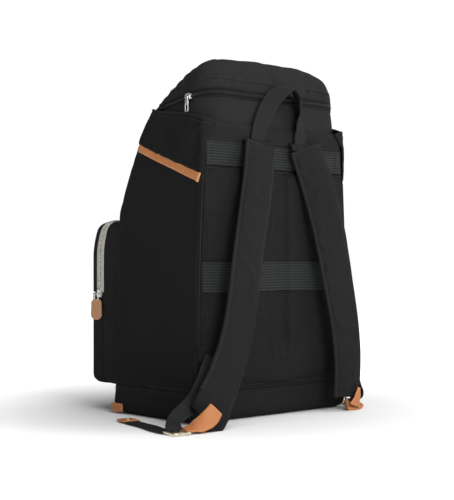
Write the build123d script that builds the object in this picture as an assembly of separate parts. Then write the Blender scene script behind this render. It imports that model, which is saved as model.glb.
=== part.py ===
from build123d import *
import os
import math

os.makedirs("parts", exist_ok=True)

# ---------------------------------------------------------------------------
# Racket backpack. Millimetres, +Z up, origin at the centre of the base where
# it stands. +Y is the wearer's side (back panel and shoulder straps), -Y is
# the front (front pocket), +X is the bag's left side as it stands here.
# ---------------------------------------------------------------------------

# driving dimensions
depth_half = 92.5          # half depth of the body
base_h = 40.0              # height of the base tub
wall = 3.0                 # laminated fabric wall
seam_z = 409.0             # yoke seam, where the upper band starts
zip_back_z = 453.0         # main zip at the back
hinge_y, hinge_z = -22.0, 434.0    # front end of the main zip, lid hinge line
lid_gap = 0.8              # clearance between lid and body along the zip
lid_hw = 131.0             # half width of the lid and upper band
lid_corner_r = 35.0        # plan radius of the lid's rear corners
pocket_hw = 138.0          # front pocket half width
pocket_y = -164.0          # front face of the front pocket
pocket_z0, pocket_z1 = 37.0, 280.0
pocket_wall = 2.5
flap_z = 173.0             # where the front pocket zip ends, flap hinge line
zip_split_y = -143.5       # centre of the front pocket's zip teeth
strap_w, strap_t = 55.0, 13.0
web_w, web_t = 25.0, 1.8
handle_w, handle_t = 25.0, 2.6
pad_t = 7.5                # thickness of the mesh back pads


# ----------------------------------------------------------------- helpers
def box(x0, x1, y0, y1, z0, z1):
    return Pos((x0 + x1) / 2, (y0 + y1) / 2, (z0 + z1) / 2) * Box(abs(x1 - x0), abs(y1 - y0), abs(z1 - z0))


def prism(points, direction, amount):
    face = Face(Wire.make_polygon(points, close=True))
    return Solid.extrude(face, Vector(*direction) * amount)


def prism_yz(pts, x0, x1):
    return prism([(x0, y, z) for y, z in pts], (1, 0, 0), x1 - x0)


def prism_xz(pts, y0, y1):
    return prism([(x, y0, z) for x, z in pts], (0, 1, 0), y1 - y0)


def prism_xy(pts, z0, z1):
    return prism([(x, y, z0) for x, y in pts], (0, 0, 1), z1 - z0)


def mirror_profile(half):
    """half: list of (x, z) with x >= 0 from bottom to top; gives a closed outline."""
    return half + [(-x, z) for x, z in reversed(half) if x > 1e-6]


def arc_pts(cx, cy, r, a0, a1, n):
    return [(cx + r * math.cos(math.radians(a0 + (a1 - a0) * i / n)),
             cy + r * math.sin(math.radians(a0 + (a1 - a0) * i / n))) for i in range(n + 1)]


def rounded_plan(hw, y0, y1, r_front, r_back, n=5):
    p = []
    p += arc_pts(hw - r_front, y0 + r_front, r_front, -90, 0, n)
    p += arc_pts(hw - r_back, y1 - r_back, r_back, 0, 90, n)
    p += arc_pts(-hw + r_back, y1 - r_back, r_back, 90, 180, n)
    p += arc_pts(-hw + r_front, y0 + r_front, r_front, 180, 270, n)
    return p


def ribbon(stations):
    """Flat strip through stations (centre, face normal, width, thickness)."""
    wires = []
    cs = [Vector(*s[0]) for s in stations]
    for i, (c, nrm, w, t) in enumerate(stations):
        c = Vector(*c)
        if i == 0:
            tan = cs[1] - cs[0]
        elif i == len(cs) - 1:
            tan = cs[-1] - cs[-2]
        else:
            tan = (cs[i + 1] - cs[i]).normalized() + (cs[i] - cs[i - 1]).normalized()
        tan = tan.normalized()
        n = Vector(*nrm)
        n = (n - tan * n.dot(tan)).normalized()
        wd = tan.cross(n).normalized()
        wires.append(Wire.make_polygon([c + wd * (w / 2) + n * (t / 2), c - wd * (w / 2) + n * (t / 2),
                                        c - wd * (w / 2) - n * (t / 2), c + wd * (w / 2) - n * (t / 2)], close=True))
    return Solid.make_loft(wires, ruled=True)


def mirror_x(shape):
    return shape.mirror(Plane.YZ)


nodes = {}


def put(name, *shapes):
    out = []
    for s in shapes:
        if isinstance(s, (list, tuple, ShapeList)):
            for q in s:
                out += list(q.solids())
        else:
            out += list(s.solids())
    nodes[name] = Compound(children=out) if len(out) > 1 else out[0]


# ------------------------------------------------------------ body outlines
side_outer = [(82, 0), (90, 4), (92.5, 12), (92.5, 400), (91.5, 430), (90, 453), (88, 472), (84, 489), (78, 499),
              (68, 503), (56, 499), (38, 490), (16, 474), (-4, 456), (hinge_y, hinge_z), (-50, 383), (-72, 335),
              (-92.5, 286), (-92.5, 12), (-90, 4), (-82, 0)]
side_inner = [(79, wall), (87, 6.5), (89.5, 13), (89.5, 400), (88.5, 430), (87, 453), (85, 471), (81.5, 487),
              (76.5, 496), (68, 499.6), (57, 496), (39.5, 487), (17.5, 471.5), (-2, 453.6), (-19.4, 432.4), (-47.4, 381.6),
              (-69.2, 333.8), (-89.5, 285.4), (-89.5, 13), (-87, 6.5), (-79, wall)]

panel_half = [(142, 0), (150, 4), (154, 12), (154, 44), (149, 128), (147, 219), (141, 353), (138.5, seam_z), (138.5, 440)]
gusset_half = [(144, base_h), (138, 128), (136, 219), (130, 353), (129, seam_z)]
lid_half = [(lid_hw, 400), (lid_hw, 466), (127, 481), (117, 493), (98, 500), (60, 503.5), (0, 503.5)]
lid_half_in = [(lid_hw - wall, 400), (lid_hw - wall, 465), (124.3, 479), (115, 490), (97, 497), (60, 500.5), (0, 500.5)]

outer_side = prism_yz(side_outer, -170, 170)
inner_side = prism_yz(side_inner, -170, 170)
panel_front = prism_xz(mirror_profile(panel_half), -100, 100)
gusset_front = prism_xz([(x, z) for x, z in mirror_profile(gusset_half)], -100, 100)
gusset_front_in = prism_xz([(x, z) for x, z in mirror_profile([(x - wall, z) for x, z in gusset_half])], -100, 100)
plan_low = prism_xy(rounded_plan(154, -depth_half, depth_half, 16, 8), -1, 600)

# ------------------------------------------------------------ base tub
tub_out = outer_side & panel_front & plan_low & box(-170, 170, -100, 100, 0, base_h)
tub_in_half = [(139, wall), (147, 6.5), (151, 13), (151, 50)]
tub_in = inner_side & prism_xz(mirror_profile(tub_in_half), -100, 100) & box(-170, 170, -100, 100, wall, 60)
put("base_panel", tub_out - tub_in)
put("base_board", box(-136, 136, -76, 76, wall, wall + 2.5))

# ------------------------------------------------------------ wall panels
skin = (outer_side & panel_front & plan_low) - inner_side
put("front_panel", skin & box(-170, 170, -100, 0, base_h, 286))
slope = skin & box(-170, 170, -100, 0, 286, 440)
slope = slope - prism_yz([(hinge_y - 0.6, 500), (hinge_y - 0.6, 400), (0, 400), (0, 500)], -170, 170)
put("front_top_panel", slope)
put("back_panel", skin & box(-170, 170, 80, 100, base_h, seam_z))

gus = (gusset_front - gusset_front_in) & inner_side & box(-170, 170, -89.5, 89.5, base_h, seam_z)
put("side_gusset_left", gus & box(0, 170, -100, 100, 0, 500))
put("side_gusset_right", gus & box(-170, 0, -100, 100, 0, 500))

# upper band between the yoke seam and the main zip, with the large rear corners
plan_lid = prism_xy(rounded_plan(lid_hw, -depth_half, depth_half, 12, lid_corner_r, 7), 380, 520)
plan_lid_in = prism_xy(rounded_plan(lid_hw - wall, -depth_half + wall, depth_half - wall, 9, lid_corner_r - wall, 7), 380, 520)
lid_front = prism_xz(mirror_profile(lid_half), -100, 100)
lid_front_in = prism_xz(mirror_profile(lid_half_in), -100, 100)
high_out = outer_side & plan_lid & lid_front
high_in = inner_side & plan_lid_in & lid_front_in
high_skin = high_out - high_in

zip_dir = (zip_back_z - hinge_z) / (depth_half - hinge_y)


def zip_line(y, dz=0.0):
    return hinge_z + (y - hinge_y) * zip_dir + dz


below_zip = prism_yz([(-130, 380), (130, 380), (130, zip_line(130, -lid_gap / 2)), (-130, zip_line(-130, -lid_gap / 2))], -170, 170)
above_zip = prism_yz([(-130, zip_line(-130, lid_gap / 2)), (130, zip_line(130, lid_gap / 2)), (130, 520), (-130, 520)], -170, 170)
band = high_skin & box(-170, 170, -60, 100, seam_z, 520) & below_zip
band = band - (slope + prism_yz([(-100, 380), (hinge_y + 2.6, 380), (hinge_y + 2.6, 460), (-100, 460)], -170, 170))
put("upper_side_band", band)

# ------------------------------------------------------------ side pockets and collars
mouth = [(-56, 388.5), (89.5, 334.0)]


def mouth_z(y):
    return mouth[0][1] + (y - mouth[0][0]) * (mouth[1][1] - mouth[0][1]) / (mouth[1][0] - mouth[0][0])


pocket_half = [(154, base_h), (149, 128), (147, 219), (141, 353), (139.5, 400)]
collar_half = [(142.6, 320), (142.2, 353), (142.8, 392), (142.0, 440)]
pocket_slab = prism_xz(mirror_profile(pocket_half), -100, 100) - prism_xz(mirror_profile([(x - 2, z) for x, z in pocket_half]), -100, 100)
side_window = prism_yz([(-89.5, base_h), (89.5, base_h), (89.5, mouth_z(89.5)), (-57, mouth_z(-57)), (-69.2, 333.8), (-89.5, 285.4)], -170, 170)
pk = pocket_slab & side_window & inner_side
put("side_pocket_left", pk & box(0, 170, -100, 100, 0, 500))
put("side_pocket_right", pk & box(-170, 0, -100, 100, 0, 500))

trim_slab = prism_xz(mirror_profile([(x + 1.6, z) for x, z in pocket_half]), -100, 100) - prism_xz(mirror_profile(pocket_half), -100, 100)
trim_strip = prism_yz([(-54, mouth_z(-54) - 11), (88, mouth_z(88) - 11), (88, mouth_z(88) - 0.5), (-54, mouth_z(-54) - 0.5)], -170, 170)
tr = trim_slab & trim_strip & inner_side
put("side_pocket_trim_left", tr & box(0, 170, -100, 100, 0, 500))
put("side_pocket_trim_right", tr & box(-170, 0, -100, 100, 0, 500))

collar_slab = prism_xz(mirror_profile(collar_half), -100, 100) - prism_xz(mirror_profile([(x - 2.4, z) for x, z in collar_half]), -100, 100)
collar_win = prism_yz([(-46, mouth_z(-46) + 1.5), (89.5, mouth_z(89.5) + 1.5), (89.5, 411), (70, 421), (30, 427), (-19, 436), (-24, 430)], -170, 170)
cl = collar_slab & collar_win & inner_side
put("side_collar_left", cl & box(0, 170, -100, 100, 0, 500))
put("side_collar_right", cl & box(-170, 0, -100, 100, 0, 500))

# ------------------------------------------------------------ lid
lid_all = high_skin & above_zip & box(-170, 170, hinge_y - 0.2, 100, 400, 520)
band_top = prism_yz([(-130, zip_line(-130, 20)), (130, zip_line(130, 20)), (130, 520), (-130, 520)], -170, 170)
put("lid_panel", lid_all & band_top & box(-170, 170, hinge_y - 0.2, 100, 400, 520))
put("lid_zip_band", lid_all - band_top)

# zip tapes: thin strips on the outside, one on the body and one on the lid
tape_out = prism_xy(rounded_plan(lid_hw + 1.1, -depth_half - 1.1, depth_half + 0.2, 13, lid_corner_r + 1.1, 7), 380, 520)
tape_ring = tape_out - prism_xy(rounded_plan(lid_hw, -depth_half, depth_half - 0.9, 12, lid_corner_r, 7), 380, 520)
tape_reach = box(-170, 170, -8, 100, 400, 520)
lower_strip = prism_yz([(-130, zip_line(-130, -7)), (130, zip_line(130, -7)), (130, zip_line(130, -0.5)), (-130, zip_line(-130, -0.5))], -170, 170)
upper_strip = prism_yz([(-130, zip_line(-130, 0.5)), (130, zip_line(130, 0.5)), (130, zip_line(130, 7)), (-130, zip_line(-130, 7))], -170, 170)
put("main_zip_tape_body", (tape_ring & lower_strip & tape_reach) - high_out)
put("main_zip_tape_lid", (tape_ring & upper_strip & tape_reach) - high_out)

# ------------------------------------------------------------ main zip slider and pull
sl_y, sl_z = 57.5, zip_line(57.5)
sx = lid_hw + 1.6
put("main_zip_slider", box(sx, sx + 2.6, sl_y - 6.5, sl_y + 6.5, sl_z - 4.6, sl_z + 4.6)
    + box(sx + 2.6, sx + 4.0, sl_y - 1.6, sl_y + 1.6, sl_z - 3.4, sl_z + 3.4))
pv_x, pv_z = sx + 5.4, sl_z - 1.0
pull = box(pv_x - 0.7, pv_x + 0.7, sl_y - 3.6, sl_y + 3.6, pv_z - 21.0, pv_z + 0.9)
pull = pull - box(pv_x - 2, pv_x + 2, sl_y - 1.9, sl_y + 1.9, pv_z - 18.5, pv_z - 8.0)
put("main_zip_pull", pull)

# ------------------------------------------------------------ back: pads, bands, yoke, inner sheets
def pad(x0, x1, z0, z1, y0=depth_half, t=pad_t):
    b = box(x0, x1, y0, y0 + t, z0, z1)
    return chamfer(b.edges().group_by(Axis.Y)[-1], 3.0)


put("back_pad_left", pad(9, 134, 44, 350))
put("back_pad_right", pad(-134, -9, 44, 350))
put("back_pad_channel", box(-9, 9, depth_half, depth_half + 3.5, 44, 350))
put("lower_back_band", box(-134, 134, depth_half + pad_t, depth_half + pad_t + 1.6, 178, 219))
put("upper_back_band", box(-133, 133, depth_half, depth_half + 2.0, 351, 384))
put("back_yoke", box(-129, 129, depth_half, depth_half + 3.5, 384.5, seam_z))
put("back_frame_sheet", box(-122, 122, 87.4, 88.9, 46, 400))

sleeve = box(-121, 121, 60, 87.2, 52, 300) - box(-117, 117, 64, 90, 56, 301)
put("laptop_sleeve", sleeve)
put("racket_divider", box(-120, 120, -54, -50, 8, 300))

# ------------------------------------------------------------ side wings for the adjuster webbing
wing = prism([(150.0, depth_half + pad_t, 128.0), (150.0, depth_half + pad_t, 92.0), (122.0, depth_half + pad_t, 90.0)], (0, 1, 0), 2.4)
wing = wing + box(143, 151.5, depth_half, depth_half + pad_t + 2.4, 92, 128)
put("strap_wing_left", wing)
put("strap_wing_right", mirror_x(wing))
put("front_corner_tab_left", box(154.0, 156.4, -91, -66, 3, 14))
put("front_corner_tab_right", box(-156.4, -154.0, -91, -66, 3, 14))

# ------------------------------------------------------------ front pocket
def pocket_outline(hw, z0, z1, r, n=5):
    p = []
    p += arc_pts(hw - r, z0 + r, r, -90, 0, n)
    p += arc_pts(hw - r, z1 - r, r, 0, 90, n)
    p += arc_pts(-hw + r, z1 - r, r, 90, 180, n)
    p += arc_pts(-hw + r, z0 + r, r, 180, 270, n)
    return p


def pocket_tube(out, thick, y0, y1, r=14.0):
    return (prism_xz(pocket_outline(pocket_hw + out, pocket_z0 - out, pocket_z1 + out, r + out), y0, y1)
            - prism_xz(pocket_outline(pocket_hw + out - thick, pocket_z0 - out + thick, pocket_z1 + out - thick, r + out - thick), y0 - 1, y1 + 1))


pocket_full = prism_xz(pocket_outline(pocket_hw, pocket_z0, pocket_z1, 14.0), pocket_y, -depth_half)
low_half = box(-200, 200, -170, -80, 0, flap_z)
high_half = box(-200, 200, -170, -80, flap_z + 0.6, 300)
rear_wall = pocket_tube(0, pocket_wall, -135.0, -depth_half)
low_walls = pocket_tube(0, pocket_wall, pocket_y, -135.0) & low_half
low_face = pocket_full & box(-200, 200, pocket_y, pocket_y + pocket_wall, 0, flap_z)
put("front_pocket_body", rear_wall + low_walls + low_face)

flap_face = pocket_full & box(-200, 200, pocket_y, pocket_y + pocket_wall, flap_z + 0.6, 300)
flap_rim = pocket_tube(0, pocket_wall, pocket_y, -152.0) & high_half
put("front_pocket_flap", flap_face + flap_rim)
put("front_zip_tape_flap", pocket_tube(0, 1.4, -152.0, zip_split_y - 2.5) & high_half)
put("front_zip_teeth_flap", pocket_tube(0.6, 2.0, zip_split_y - 2.5, zip_split_y - 0.2) & high_half)
put("front_zip_tape_body", pocket_tube(0, 1.4, zip_split_y + 2.5, -135.0) & high_half)
put("front_zip_teeth_body", pocket_tube(0.6, 2.0, zip_split_y + 0.2, zip_split_y + 2.5) & high_half)

fx = pocket_hw + 0.95
put("front_zip_slider", box(fx, fx + 2.8, zip_split_y - 4.6, zip_split_y + 4.6, 166, 181)
    + box(fx + 2.8, fx + 4.6, zip_split_y - 1.4, zip_split_y + 1.4, 168, 178))
fpx, fpz = fx + 6.6, 171.0
fp = box(fpx - 0.8, fpx + 0.8, zip_split_y - 5.5, zip_split_y + 5.5, fpz - 9, fpz + 1.0)
fp = fp - box(fpx - 2, fpx + 2, zip_split_y - 3.2, zip_split_y + 3.2, fpz - 6.5, fpz - 1.2)
put("front_zip_pull_ring", fp)
tab = prism([(fpx - 1.4, zip_split_y + a, fpz + b) for a, b in
             [(-7, -9), (7, -9), (9, -13), (8.4, -17), (9, -32), (7, -36.5), (0, -38.5), (-7, -36.5), (-9, -32), (-8.4, -17), (-9, -13)]], (1, 0, 0), 2.8)
tab = Pos(fpx, zip_split_y, 0) * Rot(0, 0, 30) * Pos(-fpx, -zip_split_y, 0) * tab
put("front_zip_pull_leather", tab)

# ------------------------------------------------------------ grab handle
hy = 99.6
put("grab_handle", ribbon([
    ((43, hy, 385.0), (0, 1, 0), handle_w, handle_t),
    ((42, hy, 398), (0, 1, 0), handle_w, handle_t),
    ((37, hy + 1.5, 420), (0.25, 1, 0), handle_w, handle_t),
    ((28, hy + 4, 444), (0.9, 1, 0.3), handle_w, handle_t),
    ((14, hy + 7, 461), (0.6, 0.5, 1.1), handle_w, handle_t),
    ((-4, hy + 8.5, 466.5), (0, 0.15, 1), handle_w, handle_t),
    ((-22, hy + 7, 459), (-0.7, 0.5, 0.9), handle_w, handle_t),
    ((-33, hy + 4, 441), (-0.9, 1, 0.3), handle_w, handle_t),
    ((-39, hy + 1.5, 418), (-0.25, 1, 0), handle_w, handle_t),
    ((-42, hy, 398), (0, 1, 0), handle_w, handle_t),
    ((-43, hy, 385.0), (0, 1, 0), handle_w, handle_t)]))

# ------------------------------------------------------------ shoulder straps
left_path = [
    ((44, 106.0, 381.5), (0, 1, 0.10)), ((49, 110.0, 362), (0, 1, 0.18)), ((57, 115.0, 333), (0, 1, 0.14)),
    ((67, 119.5, 299), (0, 1, 0.10)), ((78, 123.5, 259), (0, 1, 0.06)), ((87, 125.5, 220), (0, 1, 0)),
    ((93.5, 125.8, 180), (0, 1, 0)), ((102, 126.5, 140), (0, 1, 0)), ((116, 129, 101), (0.02, 1, 0.04)),
    ((137, 134, 64), (0.06, 1, 0.12)), ((159, 141, 38), (0.12, 1, 0.25))]
right_path = [
    ((-46, 106.0, 381.5), (0, 1, 0.10)), ((-52, 110.0, 362), (0, 1, 0.18)), ((-61, 115.0, 333), (0, 1, 0.14)),
    ((-70, 119.5, 299), (0, 1, 0.10)), ((-79, 123.5, 259), (0, 1, 0.06)), ((-87, 125.5, 220), (0, 1, 0)),
    ((-97, 125.8, 178), (0, 1, 0)), ((-106, 126.5, 136), (0, 1, 0)), ((-112, 127, 92), (0, 1, 0)),
    ((-114, 126, 52), (0, 1, 0)), ((-112, 123, 20), (-0.1, 1, -0.05))]
put("shoulder_strap_left", ribbon([(c, n, strap_w, strap_t) for c, n in left_path]))
put("shoulder_strap_right", ribbon([(c, n, strap_w, strap_t) for c, n in right_path]))

# leather end tabs and buckles
put("strap_end_tab_left", ribbon([
    ((161.2, 141.8, 35.6), (0.12, 1, 0.25), 44, 3.0), ((176, 144.5, 21.5), (0.15, 1, 0.9), 40, 3.0),
    ((192, 143.5, 10.5), (0.1, 0.5, 1), 33, 3.0), ((207, 141.0, 5.2), (0, 0.1, 1), 26, 3.0)]))
put("strap_end_tab_right", ribbon([
    ((-117, 121.5, 9.6), (-0.2, 1, 0.4), 18, 3.0), ((-137, 116.5, 5.6), (-0.1, 0.4, 1), 24, 3.0),
    ((-156, 104.5, 3.6), (0, 0, 1), 24, 3.0), ((-167.5, 85, 3.6), (0, 0, 1), 26, 3.0)]))


def buckle(cx, cy, ang):
    b = box(-14, 14, -15.5, 15.5, 0.6, 4.0) - box(-10.5, -1.4, -12.8, 12.8, -1, 6) - box(1.4, 10.5, -12.8, 12.8, -1, 6)
    return Location((cx, cy, 0), (0, 0, ang)) * b


put("strap_buckle_left", buckle(222.6, 139.6, -8))
put("strap_buckle_right", buckle(-173.0, 69.6, 70))

# adjuster webbing from each side wing down to its buckle
put("adjuster_webbing_left", ribbon([
    ((132.5, 106.6, 89.5), (0.1, 1, 0.2), web_w, web_t), ((144, 110.5, 75), (0.1, 1, 0.3), web_w, web_t),
    ((157, 114, 55), (0.15, 1, 0.4), web_w, web_t), ((174, 116.5, 35), (0.2, 1, 0.6), web_w, web_t),
    ((203, 120.5, 21), (0.4, 0.8, 0.8), 22, web_t), ((221.5, 130.5, 12.0), (0.5, 0.2, 0.8), 21, web_t)]))
put("adjuster_webbing_right", ribbon([
    ((-132.5, 106.6, 89.5), (-0.1, 1, 0.2), web_w, web_t), ((-144, 107.5, 76), (-0.1, 1, 0.3), web_w, web_t),
    ((-163, 105, 48), (-0.4, 1, 0.4), web_w, web_t), ((-176, 94, 26), (-0.6, 0.6, 0.7), web_w, web_t),
    ((-178, 79, 12.5), (-0.3, 0.6, 0.8), 22, web_t)]))

# free webbing tails on the floor, with leather tips and rivets
put("webbing_tail_left", ribbon([
    ((224, 121.0, 1.3), (0, 0, 1), web_w, web_t), ((220, 96, 1.3), (0, 0, 1), web_w, web_t),
    ((211, 67, 1.3), (0, 0, 1), web_w, web_t), ((206, 38, 1.3), (0, 0, 1), web_w, web_t), ((202, 18, 1.3), (0, 0, 1), web_w, web_t)]))
put("webbing_tip_left", ribbon([((201.6, 16.6, 1.9), (0, 0, 1), 26, 3.2), ((196.6, -6.0, 1.9), (0, 0, 1), 24, 3.2)]))
put("webbing_tail_right", ribbon([
    ((-179.0, 50.5, 1.3), (0, 0, 1), web_w, web_t), ((-182, 30, 1.3), (0, 0, 1), web_w, web_t),
    ((-182, 6, 1.3), (0, 0, 1), web_w, web_t), ((-178, -17, 1.3), (0, 0, 1), web_w, web_t)]))
put("webbing_tip_right", ribbon([((-177.8, -17.6, 1.9), (0, 0, 1), 26, 3.2), ((-173.8, -40.5, 1.9), (0, 0, 1), 24, 3.2)]))


def rivet(x, y, z0):
    return Pos(x, y, z0 + 0.9) * Cylinder(3.4, 1.8)


put("tip_rivets", rivet(199.2, 5.8, 3.5), rivet(-175.8, -29.5, 3.5))

# ------------------------------------------------------------ export
for name, shape in nodes.items():
    export_step(shape, f"parts/{name}.step")
print(len(nodes), "nodes")
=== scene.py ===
import math
import bpy
import bmesh
import numpy as np
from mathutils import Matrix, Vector


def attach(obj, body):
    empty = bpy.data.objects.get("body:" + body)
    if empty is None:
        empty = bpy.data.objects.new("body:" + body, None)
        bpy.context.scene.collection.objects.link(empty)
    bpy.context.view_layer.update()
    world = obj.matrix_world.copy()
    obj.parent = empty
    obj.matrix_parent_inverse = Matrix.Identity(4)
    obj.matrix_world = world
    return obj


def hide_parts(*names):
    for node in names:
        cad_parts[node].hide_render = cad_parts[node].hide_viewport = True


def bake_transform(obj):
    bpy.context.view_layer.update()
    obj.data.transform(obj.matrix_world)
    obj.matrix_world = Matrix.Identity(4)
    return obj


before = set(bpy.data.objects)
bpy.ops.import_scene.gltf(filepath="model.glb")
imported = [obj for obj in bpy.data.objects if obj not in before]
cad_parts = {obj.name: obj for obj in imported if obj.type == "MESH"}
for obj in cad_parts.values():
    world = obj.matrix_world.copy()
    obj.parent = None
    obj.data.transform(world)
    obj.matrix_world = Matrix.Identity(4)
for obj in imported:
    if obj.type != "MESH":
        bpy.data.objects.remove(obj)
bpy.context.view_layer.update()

MM = 0.001


# =====================================================================================
# numeric helpers (all geometry below is in millimetres until it becomes a mesh)
# =====================================================================================
def A(x):
    return np.array(x, float)


def unit(v):
    n = np.linalg.norm(v, axis=-1, keepdims=True)
    return v / np.maximum(n, 1e-9)


def cint(x, xp, yp):
    """Smooth curve through (xp, yp), with limited tangents so that it doesn't overshoot."""
    x, xp, yp = np.asarray(x, float), A(xp), A(yp)
    h = np.diff(xp)
    d = np.diff(yp) / h
    m = np.zeros_like(yp)
    m[1:-1] = np.where(d[:-1] * d[1:] > 0, 2 * d[:-1] * d[1:] / (d[:-1] + d[1:] + 1e-12), 0)
    m[0], m[-1] = d[0], d[-1]
    i = np.clip(np.searchsorted(xp, x) - 1, 0, len(h) - 1)
    t = np.clip((x - xp[i]) / h[i], 0, 1)
    return ((1 + 2 * t) * (1 - t) ** 2 * yp[i] + t * (1 - t) ** 2 * h[i] * m[i]
            + t * t * (3 - 2 * t) * yp[i + 1] + t * t * (t - 1) * h[i] * m[i + 1])


def spline(pts, n):
    """Catmull-Rom through pts, resampled to n points evenly spaced."""
    p = A(pts)
    q = np.vstack([2 * p[0] - p[1], p, 2 * p[-1] - p[-2]])
    out = []
    for i in range(1, len(q) - 2):
        t = np.linspace(0, 1, 24, endpoint=False)[:, None]
        a, b, c, d = q[i - 1], q[i], q[i + 1], q[i + 2]
        out.append(0.5 * (2 * b + (c - a) * t + (2 * a - 5 * b + 4 * c - d) * t ** 2 + (3 * b - a - 3 * c + d) * t ** 3))
    out.append(p[-1:])
    return resample(np.vstack(out), n)


def resample(p, n):
    s = np.r_[0, np.cumsum(np.linalg.norm(np.diff(p, axis=0), axis=1))]
    t = np.linspace(0, s[-1], n)
    return np.stack([np.interp(t, s, p[:, k]) for k in range(p.shape[1])], 1)


def wave_noise(p, size, seed, octaves=3):
    """Smooth pseudo-random undulation of p (…,3), about -1 to 1, features of the given size in mm."""
    r = np.random.RandomState(seed)
    out, amp, tot = 0.0, 1.0, 0.0
    for o in range(octaves):
        f = 2 * math.pi / size * (1.9 ** o)
        acc = 0.0
        for _ in range(5):
            d = unit(r.normal(size=3))
            ph = r.uniform(0, 6.28)
            acc = acc + np.sin(p @ d * f * r.uniform(0.6, 1.4) + ph + 1.3 * np.sin(p @ unit(r.normal(size=3)) * f * 0.5 + ph))
        out = out + amp * acc / 5 * 1.6
        tot += amp
        amp *= 0.5
    return out / tot


def grid_normals(P, cu=False, cv=False):
    def d(a, ax, closed):
        if closed:
            return np.roll(a, -1, ax) - np.roll(a, 1, ax)
        return np.gradient(a, axis=ax)
    n = np.cross(d(P, 0, cu), d(P, 1, cv))
    return unit(n)


# =====================================================================================
# materials
# =====================================================================================
def nd(t, kind, **inputs):
    n = t.nodes.new(kind)
    for k, v in inputs.items():
        n.inputs[k.replace("_", " ")].default_value = v
    return n


def mat_base(name):
    m = bpy.data.materials.new(name)
    m.use_nodes = True
    t = m.node_tree
    for n in list(t.nodes):
        t.nodes.remove(n)
    out = t.nodes.new("ShaderNodeOutputMaterial")
    b = t.nodes.new("ShaderNodeBsdfPrincipled")
    t.links.new(b.outputs["BSDF"], out.inputs["Surface"])
    return m, t, b


def coords(t, kind="UV", scale=(1, 1, 1), rot=(0, 0, 0)):
    c = t.nodes.new("ShaderNodeTexCoord")
    mp = t.nodes.new("ShaderNodeMapping")
    mp.inputs["Scale"].default_value = scale
    mp.inputs["Rotation"].default_value = rot
    t.links.new(c.outputs[kind], mp.inputs["Vector"])
    return mp.outputs["Vector"]


def mixcol(t, fac, a, b, mode="MIX"):
    n = t.nodes.new("ShaderNodeMix")
    n.data_type = "RGBA"
    n.blend_type = mode
    for key, val in ((0, fac), (6, a), (7, b)):
        if hasattr(val, "links") or isinstance(val, bpy.types.NodeSocket):
            t.links.new(val, n.inputs[key])
        else:
            n.inputs[key].default_value = val if key == 0 else (*val, 1.0)
    return n.outputs[2]


def math_node(t, op, a, b=0.0, c=None):
    n = t.nodes.new("ShaderNodeMath")
    n.operation = op
    for k, v in enumerate([a, b] + ([c] if c is not None else [])):
        if isinstance(v, bpy.types.NodeSocket):
            t.links.new(v, n.inputs[k])
        else:
            n.inputs[k].default_value = v
    return n.outputs[0]


def ramp(t, fac, stops):
    n = t.nodes.new("ShaderNodeValToRGB")
    cr = n.color_ramp
    while len(cr.elements) > len(stops):
        cr.elements.remove(cr.elements[-1])
    while len(cr.elements) < len(stops):
        cr.elements.new(0.5)
    for e, (p, c) in zip(cr.elements, stops):
        e.position = p
        e.color = (*c, 1.0) if len(c) == 3 else c
    t.links.new(fac, n.inputs["Fac"])
    return n.outputs["Color"]


def wave(t, vec, axis, scale, distort=0.0, dscale=1.0):
    w = nd(t, "ShaderNodeTexWave", Scale=scale, Distortion=distort, Detail=1.0)
    w.inputs["Detail Scale"].default_value = dscale
    w.wave_type = "BANDS"
    w.bands_direction = axis
    w.wave_profile = "SIN"
    t.links.new(vec, w.inputs["Vector"])
    return w.outputs["Fac"]


def noise(t, vec, scale, detail=3.0, rough=0.55):
    n = nd(t, "ShaderNodeTexNoise", Scale=scale, Detail=detail, Roughness=rough)
    t.links.new(vec, n.inputs["Vector"])
    return n.outputs["Fac"]


def bump(t, b, height, strength, distance, under=None):
    n = t.nodes.new("ShaderNodeBump")
    n.inputs["Strength"].default_value = strength
    n.inputs["Distance"].default_value = distance
    t.links.new(height, n.inputs["Height"])
    if under is not None:
        t.links.new(under, n.inputs["Normal"])
    t.links.new(n.outputs["Normal"], b.inputs["Normal"])
    return n.outputs["Normal"]


def set_b(b, **kw):
    for k, v in kw.items():
        b.inputs[k.replace("_", " ")].default_value = v


def fabric(name, base, weave=0.0011, rough=0.88, spec=0.07, sheen=0.0, var=0.30, bump_s=0.35, uv="UV"):
    """Plain weave: warp and weft ribs with slubs, with a painted highlight on the raised yarns."""
    m, t, b = mat_base(name)
    vec = coords(t, uv)
    k = 1.0 / weave / 2.0 / math.pi * 6.2832 / 2
    wu = wave(t, vec, "X", k, 0.5, 2.0)
    wv = wave(t, vec, "Y", k, 0.5, 2.0)
    # warp goes over weft in a checker, which is what gives cloth its texture
    chk = math_node(t, "MULTIPLY", wu, wv)
    inv = math_node(t, "MULTIPLY", math_node(t, "SUBTRACT", 1.0, wu), math_node(t, "SUBTRACT", 1.0, wv))
    weave_h = math_node(t, "ADD", chk, inv)
    big = noise(t, vec, 9.0, 4.0)
    fine = noise(t, vec, 900.0, 2.0)
    lo = tuple(c * (1 - var) for c in base)
    hi = tuple(c * (1 + var) for c in base)
    c1 = mixcol(t, big, lo, hi)
    # the raised yarns are painted lighter: painted highlight on the weave
    c2 = mixcol(t, math_node(t, "MULTIPLY", weave_h, 0.45), c1, tuple(min(1, c * 1.9) for c in base))
    c3 = mixcol(t, math_node(t, "MULTIPLY", fine, 0.35), c2, lo)
    t.links.new(c3, b.inputs["Base Color"])
    rr = math_node(t, "MULTIPLY_ADD", fine, 0.12, rough - 0.06)
    t.links.new(rr, b.inputs["Roughness"])
    h = math_node(t, "MULTIPLY_ADD", fine, 0.5, weave_h)
    bump(t, b, h, bump_s, 0.0003)
    set_b(b, Specular_IOR_Level=spec, Sheen_Weight=sheen, Sheen_Roughness=0.45)
    return m


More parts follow.
